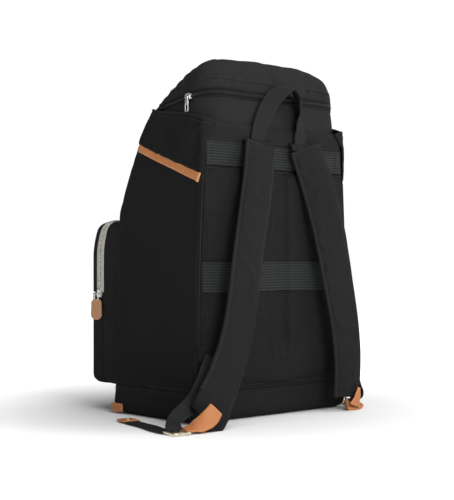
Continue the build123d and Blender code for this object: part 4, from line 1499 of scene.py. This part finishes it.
NR = [(.20, 1, .10), (.26, 1, .16), (.32, 1, .14), (.30, 1, .10), (.24, 1, .06), (.18, 1, 0), (.12, 1, 0), (.08, 1, 0), (0.04, 1, 0), (0, 1, 0), (-.1, 1, -.05)]
for tg, pts, nm, sd in (("left", LEFT, NL, 101), ("right", RIGHT, NR, 102)):
    shoulder(tg, pts, nm, sd)

# leather end tabs
ribbon("strap_end_cloth_left", [((156.0, 140.0, 42.0), (.12, 1, .25), 54), ((164.5, 141.4, 28), (.15, 1, .35), 55), ((173.5, 139.6, 15.5), (.2, 1, .6), 53),
                                ((182, 135.2, 8.0), (.2, .8, 1), 47), ((190, 131.5, 4.4), (0, .2, 1), 40)],
       4.6, "strap", n=44, crown=0.8, thread="thread", inset=2.8, pitch=3.2, body="strap_left", nodes=("strap_end_tab_left",), thread_back=True)
ribbon("strap_end_leather_left", [((163.5, 148.0, 28.0), (.14, 1, .40), 22), ((176.0, 149.2, 17.5), (.2, 1, .7), 24),
                                  ((190, 147.4, 10.0), (.2, .7, 1), 24), ((203, 143.4, 5.8), (.05, .2, 1), 23), ((212, 140.6, 4.6), (0, .1, 1), 22)],
       2.6, "leather", n=44, crown=0.5, thread="thread_tan", inset=2.2, pitch=3.2, body="strap_left", ends=True)
ribbon("strap_end_leather_right", [((-117, 121.5, 9.6), (-0.2, 1, 0.4), 21), ((-137, 116.5, 5.6), (-0.1, 0.4, 1), 24),
                                   ((-156, 104.5, 3.6), (0, 0, 1), 24), ((-167.5, 85, 3.6), (0, 0, 1), 25)],
       3.0, "leather", n=44, crown=0.5, thread="thread_tan", inset=2.6, pitch=3.4, body="strap_right", nodes=("strap_end_tab_right",), ends=True)
ribbon("strap_end_leather_right_patch", [((-134.5, 130.4, 33.0), (-.25, 1, .05), 7), ((-131.0, 130.6, 20.0), (-.22, 1, 0), 16), ((-126.5, 129.2, 6.5), (-.15, 1, .1), 24)],
       2.6, "leather", n=24, crown=0.4, thread="thread_tan", inset=1.8, pitch=3.0, body="strap_right", ends=True)


# ------------------------------------------------------------------ pale-gold buckles
def buckle(tag, cx, cy, ang):
    c, s = math.cos(math.radians(ang)), math.sin(math.radians(ang))
    n = 16
    pts = []
    for qx, qy, a0 in ((9.3, 10.9, 0), (-9.3, 10.9, 90), (-9.3, -10.9, 180), (9.3, -10.9, 270)):
        for k in range(n):
            a = math.radians(a0 + 90 * k / (n - 1))
            pts.append((qx + 2.9 * math.cos(a), qy + 2.9 * math.sin(a), 0))
    p = A(pts)
    p = resample(np.vstack([p, p[:1]]), 121)[:-1]
    R = A([[c, s, 0], [-s, c, 0], [0, 0, 1]])
    at = A([cx, cy, 2.35])
    o1 = sweep("tmp_frame", p @ R + at, (0, 0, 1), rrect(3.4, 3.3, 1.2, 4), "brass", closed=True)
    bar = A([(0, -12, 0), (0, 12, 0)]) @ R + at
    o2 = sweep("tmp_bar", resample(bar, 12), (0, 0, 1), rrect(2.9, 2.9, 1.3, 4), "brass")
    bpy.ops.object.select_all(action="DESELECT")
    o1.select_set(True)
    o2.select_set(True)
    bpy.context.view_layer.objects.active = o1
    bpy.ops.object.join()
    o1.name = o1.data.name = f"strap_buckle_frame_{tag}"
    finish_piece(o1, f"strap_{tag}", (f"strap_buckle_{tag}",))


buckle("left", 222.6, 139.6, -8)
buckle("right", -173.0, 69.6, 70)


# ------------------------------------------------------------------ webbing
def across_joint(pieces):
    for o in pieces:
        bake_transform(o)


W = 25.0
for tg, st, s0, s1 in (
        ("left", [((132.5, 106.6, 89.5), (0.1, 1, 0.2), W), ((144, 110.5, 75), (0.1, 1, 0.3), W), ((157, 114, 55), (0.15, 1, 0.4), W),
                  ((174, 116.5, 35), (0.2, 1, 0.6), W), ((203, 120.5, 21), (0.4, 0.8, 0.8), 22), ((221.5, 130.5, 12.0), (0.5, 0.2, 0.8), 21), ((223.5, 137, 4.2), (0.3, 0.9, 0.4), 21)],
         (132.5, 106.6, 89.5), (221, 131, 12.0)),
        ("right", [((-132.5, 106.6, 89.5), (-0.1, 1, 0.2), W), ((-144, 107.5, 76), (-0.1, 1, 0.3), W), ((-163, 105, 48), (-0.4, 1, 0.4), W),
                   ((-176, 94, 26), (-0.6, 0.6, 0.7), W), ((-178, 79, 12.5), (-0.3, 0.6, 0.8), 22), ((-176, 71.5, 4.2), (-0.2, 0.9, 0.4), 21)],
         (-132.5, 106.6, 89.5), (-178, 79, 12.5))):
    got = ribbon(f"adjuster_web_{tg}", st, 1.8, "web", n=80, thread=None, body=None, nodes=(f"adjuster_webbing_{tg}",), wob=0.5, seed=len(tg))
    across_joint(got)
for tg, st, s0, s1 in (
        ("left", [((222.8, 133.5, 2.6), (0, 0, 1), 21), ((224, 121.0, 1.4), (0, 0, 1), W), ((220, 96, 1.3), (0, 0, 1), W), ((211, 67, 1.3), (0, 0, 1), W), ((206, 38, 1.3), (0, 0, 1), W), ((201.6, 16.8, 1.3), (0, 0, 1), W)],
         (206, 38, 1.3), (224, 121, 1.3)),
        ("right", [((-174.5, 63.5, 2.6), (0, 0, 1), 21), ((-179.0, 50.5, 1.4), (0, 0, 1), W), ((-182, 30, 1.3), (0, 0, 1), W), ((-182, 6, 1.3), (0, 0, 1), W), ((-177.8, -18, 1.3), (0, 0, 1), W)],
         (-178.5, -14, 1.3), (-179, 50.5, 1.3))):
    got = ribbon(f"web_tail_{tg}", st, 1.8, "web", n=70, thread=None, body=None, nodes=(f"webbing_tail_{tg}",))
    across_joint(got)
ribbon("web_tip_leather_left", [((201.6, 16.6, 1.9), (0, 0, 1), 26), ((199.2, 5.8, 1.9), (0, 0, 1), 26), ((196.6, -6.0, 1.9), (0, 0, 1), 23.5)], 3.2, "leather", n=24,
       crown=0.25, thread="thread_tan", inset=2.4, pitch=3.2, nodes=("webbing_tip_left",), ends=True)
ribbon("web_tip_leather_right", [((-177.8, -17.6, 1.9), (0, 0, 1), 26), ((-175.8, -29.5, 1.9), (0, 0, 1), 26), ((-173.8, -40.5, 1.9), (0, 0, 1), 23.5)], 3.2, "leather", n=24,
       crown=0.25, thread="thread_tan", inset=2.4, pitch=3.2, nodes=("webbing_tip_right",), ends=True)


def lathe(name, prof, at, mat, n=28):
    a = np.linspace(0, 2 * math.pi, n, endpoint=False)
    P = np.stack([np.stack([r * np.cos(a), r * np.sin(a), 0 * a + z], 1) for r, z in prof], 0) + A(at)
    return tube(name, P, mat)


RIV = [(3.5, 0), (3.6, 0.5), (3.35, 1.0), (2.7, 1.45), (2.2, 1.6), (1.9, 1.45), (1.4, 1.5), (0.7, 1.75), (0.05, 1.8)]
finish_piece(lathe("tip_rivet_left", RIV, (199.2, 5.8, 3.5), "brass"), "root", ("tip_rivets",))
finish_piece(lathe("tip_rivet_right", RIV, (-175.8, -29.5, 3.5), "brass"), "root")

# ------------------------------------------------------------------ grab handle
HY = 99.6
HANDLE = [((43, HY, 385.0), (0, 1, 0), W), ((42, HY, 398), (0.1, 1, 0), W), ((35, HY + 1.8, 420), (0.35, 1, 0), W), ((23, HY + 4, 443), (0.6, 1, 0.2), W),
          ((5, HY + 7, 461), (0.5, 0.7, 0.7), W), ((-12, HY + 8.5, 467.5), (0, 0.3, 1), W), ((-27, HY + 7, 459.5), (-0.8, 0.5, 0.7), W),
          ((-35, HY + 4, 440), (-1.0, 0.7, 0.3), W), ((-39.5, HY + 1.5, 418), (-0.45, 1, 0), W), ((-42, HY, 398), (0, 1, 0), W), ((-43, HY, 385.0), (0, 1, 0), W)]
ribbon("grab_handle_web", HANDLE, 2.6, "web_dark", n=150, crown=0.3, inset=2.6, pitch=3.0, body="handle", nodes=("grab_handle",), thread_back=True)


# ------------------------------------------------------------------ side wings that hold the adjusters
def wing(tag, s):
    tri = A([(151.0, 108), (151.0, 84.0), (121.5, 88.5)])
    n = 14
    rows = []
    for i in range(n):
        t = i / (n - 1)
        a = tri[0] * (1 - t) + tri[2] * t
        b = tri[0] * (1 - t) + tri[1] * t
        rows.append(np.stack([a * (1 - k) + b * k for k in np.linspace(0, 1, n)], 0))
    G = np.stack(rows, 0)
    P = np.stack([G[..., 0] * s, 101.4 + 0 * G[..., 0], G[..., 1]], 2)
    r = np.clip((P[..., 0] * s - 143) / 9, 0, 1)
    P[..., 1] -= 8.0 * r ** 2.2
    P[..., 1] += 0.5 * wave_noise(P, 24, 111)
    o = shell(f"strap_wing_cloth_{tag}", P, 2.2, "side", out=(0, 1, 0))
    subdiv(o, 1)
    finish_piece(o, "root", (f"strap_wing_{tag}",))
    e = P[:, 1] + A([0, 0.15, 0])
    finish_piece(stitches(f"strap_wing_thread_{tag}", e[2:], (0, 1, 0)), "root")


wing("left", 1)
wing("right", -1)


def corner_tab(tag, s):
    st = [((s * 154.9, -92.0, 8.4), (s, -0.35, 0), 12.5), ((s * 155.6, -84.0, 8.4), (s, 0, 0), 12.5), ((s * 155.8, -74.0, 8.6), (s, 0, 0), 12.5), ((s * 155.2, -65.5, 8.8), (s, 0, 0), 11.5)]
    ribbon(f"corner_leather_{tag}", st, 2.6, "leather", n=24, crown=0.3, thread="thread_tan", inset=2.2, pitch=3.0, nodes=(f"front_corner_tab_{tag}",), ends=True)


corner_tab("left", 1)
corner_tab("right", -1)


# =====================================================================================
# front pocket with its metal zip
# =====================================================================================
PH, PZ0, PZ1, PR = 138.0, 37.0, 280.0, 14.0
PY, ZY = -164.0, -143.5


def lean(P):
    """The pocket's front and its zip lean back towards the bag over the top of the pocket."""
    P = A(P).copy()
    k = np.clip((-93 - P[..., 1]) / 50, 0, 1)
    t = np.clip((P[..., 2] - 226) / 54, 0, 1.02)
    P[..., 1] += 18.5 * k * t * t
    return P



def pocket_loop(g=0.0, n=200):
    """Closed outline of the pocket in the front view, grown by g, starting at the lower middle."""
    r = PR + g
    pts = [(0, PZ0 - g)]
    for cx, cz, a0 in ((PH + g - r, PZ0 - g + r, -90), (PH + g - r, PZ1 + g - r, 0), (-PH - g + r, PZ1 + g - r, 90), (-PH - g + r, PZ0 - g + r, 180)):
        for k in range(13):
            a = math.radians(a0 + 90 * k / 12)
            pts.append((cx + r * math.cos(a), cz + r * math.sin(a)))
    pts.append(pts[0])
    return resample(A(pts), n + 1)[:-1]


def pocket_arch(g=0.0, z=173.6, n=200, lower=False):
    """The part of the outline above z (or below it), from the +X side to the -X side."""
    r = PR + g
    sgn = -1 if lower else 1
    edge = PZ0 - g if lower else PZ1 + g
    pts = [(PH + g, z)]
    for s, a0, a1 in ((1, 0, 90), (-1, 90, 180)):
        for k in range(13):
            a = math.radians(a0 + (a1 - a0) * k / 12)
            pts.append((s * (PH + g - r) + r * math.cos(a), edge - sgn * r + sgn * r * math.sin(a)))
    pts.append((-PH - g, z))
    return resample(A(pts), n)


def out_pocket(q):
    v = np.zeros_like(q)
    v[..., 0] = q[..., 0] / 138
    v[..., 2] = (q[..., 2] - 158) / 121
    return v


def pocket_walls():
    # wall that stands on the front panel
    ys = np.r_[-92.9, np.linspace(-95, -134.4, 10), -136.2]
    P = np.zeros((200, len(ys), 3))
    for j, y in enumerate(ys):
        g = 0.9 * math.sin(math.pi * j / (len(ys) - 1)) - 0.1
        q = pocket_loop(g)
        P[:, j] = np.column_stack([q[:, 0], np.full(200, y), q[:, 1]])
    nn = unit(out_pocket(P))
    P += nn * (0.8 * wave_noise(P * A([1, 1.4, 1]), 42, 121) * np.sin(np.linspace(0, math.pi, len(ys)))[None, :])[..., None]
    P = lean(P)
    o = shell("front_pocket_wall", P, 2.0, "body", cu=True, out=out_pocket, inner="lining")
    subdiv(o, 1)
    finish_piece(o, "root", ("front_pocket_body",))
    q = pocket_loop(0.2)
    finish_piece(piping("front_pocket_wall_seam", np.column_stack([q[:, 0], np.full(200, -93.6), q[:, 1]]), 1.3, "binding", closed=True), "root")
    # below the zip the wall runs on to the front face
    edge = [(0.0, -135.6), (0.3, -141), (0.3, -149), (0.2, -157.0), (-0.2, -160), (-1.4, -162.5), (-3.2, -163.7), (-5.2, -164.1)]
    for nm, body, nodes, z, low in (("front_pocket_lower_wall", "root", (), 172.6, True), ("front_pocket_flap_rim", "pocket_flap", ("front_pocket_flap",), 174.0, False)):
        e = edge if low else [(0.1, -151.6), (0.2, -154)] + edge[3:]
        cols = []
        for g, y in e:
            a = pocket_arch(g, z, 170, low)
            cols.append(np.column_stack([a[:, 0], np.full(170, y), a[:, 1]]))
        P = np.stack(cols, 1)
        P += unit(out_pocket(P)) * (0.5 * wave_noise(P, 42, 122))[..., None]
        P = lean(P)
        o = shell(nm, P, 2.0, "body", out=lambda q: out_pocket(q) + A([0, -0.4, 0]), inner="lining")
        subdiv(o, 1)
        finish_piece(o, body, nodes)
        a = pocket_arch(-3.0, z, 200, low)
        finish_piece(piping(nm + "_piping", lean(np.column_stack([a[:, 0], np.full(200, -163.7), a[:, 1]])), 1.45, "binding"), body)
        a = pocket_arch(0.55, z + (-1.5 if low else 1.5), 200, low)
        if not low:
            row = lean(np.column_stack([a[:, 0], np.full(200, -153.6), a[:, 1]]))
            finish_piece(stitches(nm + "_thread", row, unit(out_pocket(row))), body)


def pocket_face():
    nu, nv = ((84, 76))
    u = np.linspace(-1, 1, nu)
    v = np.linspace(-1, 1, nv)
    U, V = np.meshgrid(np.sin(u * math.pi / 2) * 0.4 + u * 0.6, np.sin(v * math.pi / 2) * 0.4 + v * 0.6, indexing="ij")
    g, r = 4.6, PR - 4.6
    zc, hz = (PZ0 + PZ1) / 2, (PZ1 - PZ0) / 2 - g
    Z = zc + V * hz
    d = np.maximum(0, np.abs(V) * hz - (hz - r))
    X = U * (PH - g - r + np.sqrt(np.maximum(0, r * r - d * d)))
    crown = (1 - np.abs(U) ** 5).clip(0) ** 0.6 * (1 - np.abs(V) ** 5).clip(0) ** 0.6
    P = np.stack([X, -163.9 - 3.6 * crown, Z], 2)
    P[..., 1] -= 1.0 * wave_noise(P, 90, 131) * crown
    P = lean(P)
    pin = np.zeros(P.shape[:2])
    pin[0, :] = pin[-1, :] = pin[:, 0] = pin[:, -1] = 1
    P = cloth_grid(P, pin, pressure=1.2, shrink=-0.014, cap=3.2, stiff=14, frames_n=16)
    o = shell("front_pocket_face", P, 2.2, "body", out=(0, -1, 0), inner="lining")
    subdiv(o, 1)
    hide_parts("front_pocket_flap")
    across_joint([o])


def teeth(name, arch, y0, y1, phase, body, nodes):
    row = np.column_stack([arch[:, 0], np.full(len(arch), 0.0), arch[:, 1]])
    s = np.r_[0, np.cumsum(np.linalg.norm(np.diff(row, axis=0), axis=1))]
    pitch = 2.9
    k = int(s[-1] / pitch) - 1
    mid = (np.arange(k) + 0.5 + phase) * pitch
    c = np.stack([np.interp(mid, s, row[:, i]) for i in range(3)], 1)
    tan = unit(np.gradient(row, axis=0))
    tt = unit(np.stack([np.interp(mid, s, tan[:, i]) for i in range(3)], 1))
    yy = A([0, 1.0, 0])
    nn = np.cross(tt, yy)
    nn *= np.sign(np.sum(nn * out_pocket(c), 1))[:, None]
    verts, faces = [], []
    sgn = 1 if y1 > y0 else -1
    # a tooth: narrow neck at the tape, wider rounded head where it meets the other side
    prof = [(0.0, 0.62), (0.35, 0.62), (0.62, 0.80), (0.85, 0.78), (1.0, 0.45)]
    for i in range(k):
        b = len(verts)
        for f, w in prof:
            y = y0 + (y1 - y0) * f
            for a, h in ((-1, -0.7), (-1, 0.5), (-0.55, 0.95), (0.55, 0.95), (1, 0.5), (1, -0.7)):
                verts.append(c[i] + tt[i] * a * w + nn[i] * (h * (0.8 + 0.2 * w) + 0.35) + yy * y)
        m = 6
        for r in range(len(prof) - 1):
            for q in range(m):
                q2 = (q + 1) % m
                faces.append((b + r * m + q, b + r * m + q2, b + (r + 1) * m + q2, b + (r + 1) * m + q))
        faces.append(tuple(b + q for q in range(m)))
        faces.append(tuple(b + (len(prof) - 1) * m + q for q in range(m - 1, -1, -1)))
    o = make(name, lean(verts), faces, "nickel", np.zeros((len(verts), 2)), smooth=False)
    fix_normals(o)
    finish_piece(o, body, nodes)


def pocket_zip():
    for tag, body, ys, node in (("body", "root", (-134.9, -135.5, -138.0, -140.6, -141.5), "front_zip_tape_body"),
                                ("flap", "pocket_flap", (-152.1, -151.5, -149, -146.4, -145.5), "front_zip_tape_flap")):
        cols = []
        for y, g in zip(ys, (0.2, 0.75, 0.95, 0.8, 0.1)):
            a = pocket_arch(g, 173.8, 220)
            cols.append(np.column_stack([a[:, 0], np.full(220, y), a[:, 1]]))
        P = lean(np.stack(cols, 1))
        o = shell(f"front_zip_tape_{tag}_cloth", P, 0.8, "cream", out=out_pocket)
        finish_piece(o, body, (node,))
        cord = pocket_arch(0.9, 173.8, 220)
        y = -141.1 if tag == "body" else -145.9
        finish_piece(piping(f"front_zip_cord_{tag}", lean(np.column_stack([cord[:, 0], np.full(220, y), cord[:, 1]])), 0.7, "cream", n=7), body)
        y = -136.4 if tag == "body" else -150.6
        row = lean(np.column_stack([cord[:, 0], np.full(220, y), cord[:, 1]]))
        finish_piece(stitches(f"front_zip_thread_{tag}", row, unit(out_pocket(row)), "thread_cream", 3.0, 2.1, 0.26), body)
    teeth("front_zip_teeth_body_row", pocket_arch(0.75, 174.2, 300), -141.0, -144.4, 0.0, "root", ("front_zip_teeth_body",))
    teeth("front_zip_teeth_flap_row", pocket_arch(0.75, 174.2, 300), -146.0, -142.6, 0.5, "pocket_flap", ("front_zip_teeth_flap",))


pocket_walls()
pocket_face()
pocket_zip()


# ------------------------------------------------------------------ sliders and pulls
def plate(name, pts, x0, x1, mat, bev=0.35):
    """Bevelled plate: an outline in (Y, Z) pushed from x0 to x1."""
    n = len(pts)
    verts = [(x0, y, z) for y, z in pts] + [(x1, y, z) for y, z in pts]
    faces = [tuple(range(n)), tuple(range(2 * n - 1, n - 1, -1))] + [(i, (i + 1) % n, n + (i + 1) % n, n + i) for i in range(n)]
    o = make(name, verts, faces, mat, np.zeros((2 * n, 2)), smooth=False)
    fix_normals(o)
    if bev:
        bevel(o, bev, 2, 30)
    return o


def merge(parts, name):
    bpy.ops.object.select_all(action="DESELECT")
    for o in parts:
        o.select_set(True)
    bpy.context.view_layer.objects.active = parts[0]
    bpy.ops.object.join()
    parts[0].name = parts[0].data.name = name
    return parts[0]


def bail(x0, h, y, z, along, length, mat="nickel"):
    """Arched bridge on a slider's back that the pull hangs from."""
    t = np.linspace(-1, 1, 15)
    path = np.stack([np.full(15, x0) + h * (1 - np.abs(t) ** 3.0), np.full(15, y), np.full(15, z)], 1) + A(along) * (t * length / 2)[:, None]
    return sweep("tmp_bail", path, np.cross(A(along), [1, 0, 0.0]) if abs(along[2]) < 2 else (0, 1, 0), rrect(1.0, 2.2, 0.4, 2), mat)


pts = [(-6.5, -2.6), (-4.8, -4.2), (-1, -4.6), (3, -4.6), (6.0, -3.6), (6.5, -2.0), (5.2, 0), (6.5, 2.0), (6.0, 3.6), (3, 4.6), (-1, 4.6), (-4.8, 4.2), (-6.5, 2.6)]
outline_main = [(57.5 + a, 447.2 + b) for a, b in pts]
m = merge([plate("tmp_a", outline_main, 132.6, 133.8, "nickel"), plate("tmp_b", outline_main, 135.0, 136.2, "nickel"),
           plate("tmp_c", [(57.5 + a * 0.35 - 3, 447.2 + b * 0.3) for a, b in pts], 133.6, 135.2, "nickel", 0),
           bail(135.9, 1.5, 57.5, 447.2, (0, 1, 0), 9.0)], "main_zip_slider_metal")
finish_piece(m, "main_slider", ("main_zip_slider",))
ring = []
for qy, qz, a0 in ((2.0, -10.2, 0), (-2.0, -10.2, 90), (-2.0, -19.0, 180), (2.0, -19.0, 270)):
    for k in range(6):
        a = math.radians(a0 + 90 * k / 5)
        ring.append((0, qy + 0.7 * math.cos(a) * 1.0, qz + 0.7 * math.sin(a)))
ring = A(ring) + A([138.0, 57.5, 446.19])
ring = resample(np.vstack([ring, ring[:1]]), 61)[:-1]
top = ribbon("tmp_pull_top", [((138.0, 57.5, 447.0), (1, 0, 0), 4.2), ((138.0, 57.5, 443.5), (1, 0, 0), 5.2), ((138.0, 57.5, 440), (1, 0, 0), 7.0), ((138.0, 57.5, 436.2), (1, 0, 0), 7.2)],
             1.4, "nickel", n=20, thread=None, body=None)[0]
m = merge([sweep("tmp_ring", ring, (1, 0, 0), rrect(1.7, 1.5, 0.5, 3), "nickel", closed=True), top], "main_zip_pull_metal")
finish_piece(m, "main_pull", ("main_zip_pull",))

pts = [(-3.0, -7.4), (-4.4, -5.2), (-4.6, -1), (-4.6, 3), (-3.8, 6.6), (-2.2, 7.4), (0, 6.2), (2.2, 7.4), (3.8, 6.6), (4.6, 3), (4.6, -1), (4.4, -5.2), (3.0, -7.4)]
outline_front = [(ZY + a, 173.5 + b) for a, b in pts]
m = merge([plate("tmp_a", outline_front, 138.0, 139.2, "nickel"), plate("tmp_b", outline_front, 140.55, 141.75, "nickel"),
           plate("tmp_c", [(ZY + a * 0.3, 173.5 + b * 0.35 + 3) for a, b in pts], 138.9, 140.8, "nickel", 0),
           bail(141.4, 2.2, ZY, 173.0, (0, 0, 1), 9.6)], "front_zip_slider_metal")
finish_piece(m, "front_slider", ("front_zip_slider",))
ring = []
for qy, qz, a0 in ((3.0, -1.2, 0), (-3.0, -1.2, 90), (-3.0, -6.6, 180), (3.0, -6.6, 270)):
    for k in range(6):
        a = math.radians(a0 + 90 * k / 5)
        ring.append((0, qy + 1.4 * math.cos(a), qz + 1.4 * math.sin(a)))
ring = A(ring) + A([145.55, ZY, 171.0])
ring = resample(np.vstack([ring, ring[:1]]), 61)[:-1]
# the ring hangs from the bail: a short link leads back to it
m = merge([sweep("tmp_ring", ring, (1, 0, 0), circle(0.85, 8), "nickel", closed=True),
           sweep("tmp_link", resample(A([(142.6, ZY, 171.9), (143.6, ZY, 171.6), (145.4, ZY, 171.3)]), 8), (0, 0, 1), rrect(4.4, 1.0, 0.45, 3), "nickel")], "front_zip_ring_metal")
finish_piece(m, "front_pull", ("front_zip_pull_ring",))
LN = (0.866, 0.5, 0)
ribbon("front_zip_leather_pull", [((145.55, ZY, 163.2), LN, 11.5), ((145.55, ZY, 161.0), LN, 14), ((145.55, ZY, 158.4), LN, 17.6), ((145.55, ZY, 155.4), LN, 16.6),
                                  ((145.55, ZY, 150), LN, 17.2), ((145.55, ZY, 140), LN, 18), ((145.55, ZY, 135.8), LN, 15.0), ((145.55, ZY, 133.6), LN, 9.5), ((145.55, ZY, 132.7), LN, 4.0)],
       2.7, "leather_pull", n=70, crown=0.2, thread="thread_tan", inset=2.1, pitch=2.7, body="front_pull", nodes=("front_zip_pull_leather",), thread_back=True)


# =====================================================================================
# inside the bag
# =====================================================================================
for nm in ("base_board", "back_frame_sheet"):
    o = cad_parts[nm]
    o.data.materials.clear()
    o.data.materials.append(M["board"])


def inner_pad(name, hx, y0, y1, z0, z1, node, seed):
    u = np.linspace(-1, 1, 50)
    v = np.linspace(-1, 1, 50)
    U, V = np.meshgrid(u, v, indexing="ij")
    mid, t = (y0 + y1) / 2, (y1 - y0) / 2
    crown = (1 - np.abs(U) ** 8).clip(0) ** 0.5 * (1 - np.abs(V) ** 8).clip(0) ** 0.5
    P = np.stack([U * hx, mid + 0.3 + (t - 0.3) * crown, (z0 + z1) / 2 + V * (z1 - z0) / 2], 2)
    Q = P.copy()
    Q[..., 1] = mid - 0.3 - (t - 0.3) * crown
    P[..., 1] += 0.4 * wave_noise(P, 60, seed) * crown * min(1, t / 4)
    o = slab(name, P, Q, "lining")
    finish_piece(o, "root", (node,))
    for k, z in enumerate((z1 - 6, z1 - 9)):
        row = np.column_stack([np.linspace(-hx + 6, hx - 6, 120), np.full(120, mid + t * 0.93), np.full(120, z)])
        row[:, 1] = np.interp(row[:, 0], P[:, -3, 0], P[:, -3, 1])
        finish_piece(stitches(f"{name}_thread_{k}", row, (0, 1, 0)), "root")


inner_pad("laptop_sleeve_pad", 121, 60.3, 86.8, 52, 300, "laptop_sleeve", 141)
inner_pad("racket_divider_pad", 120, -53.8, -50.2, 8, 300, "racket_divider", 142)
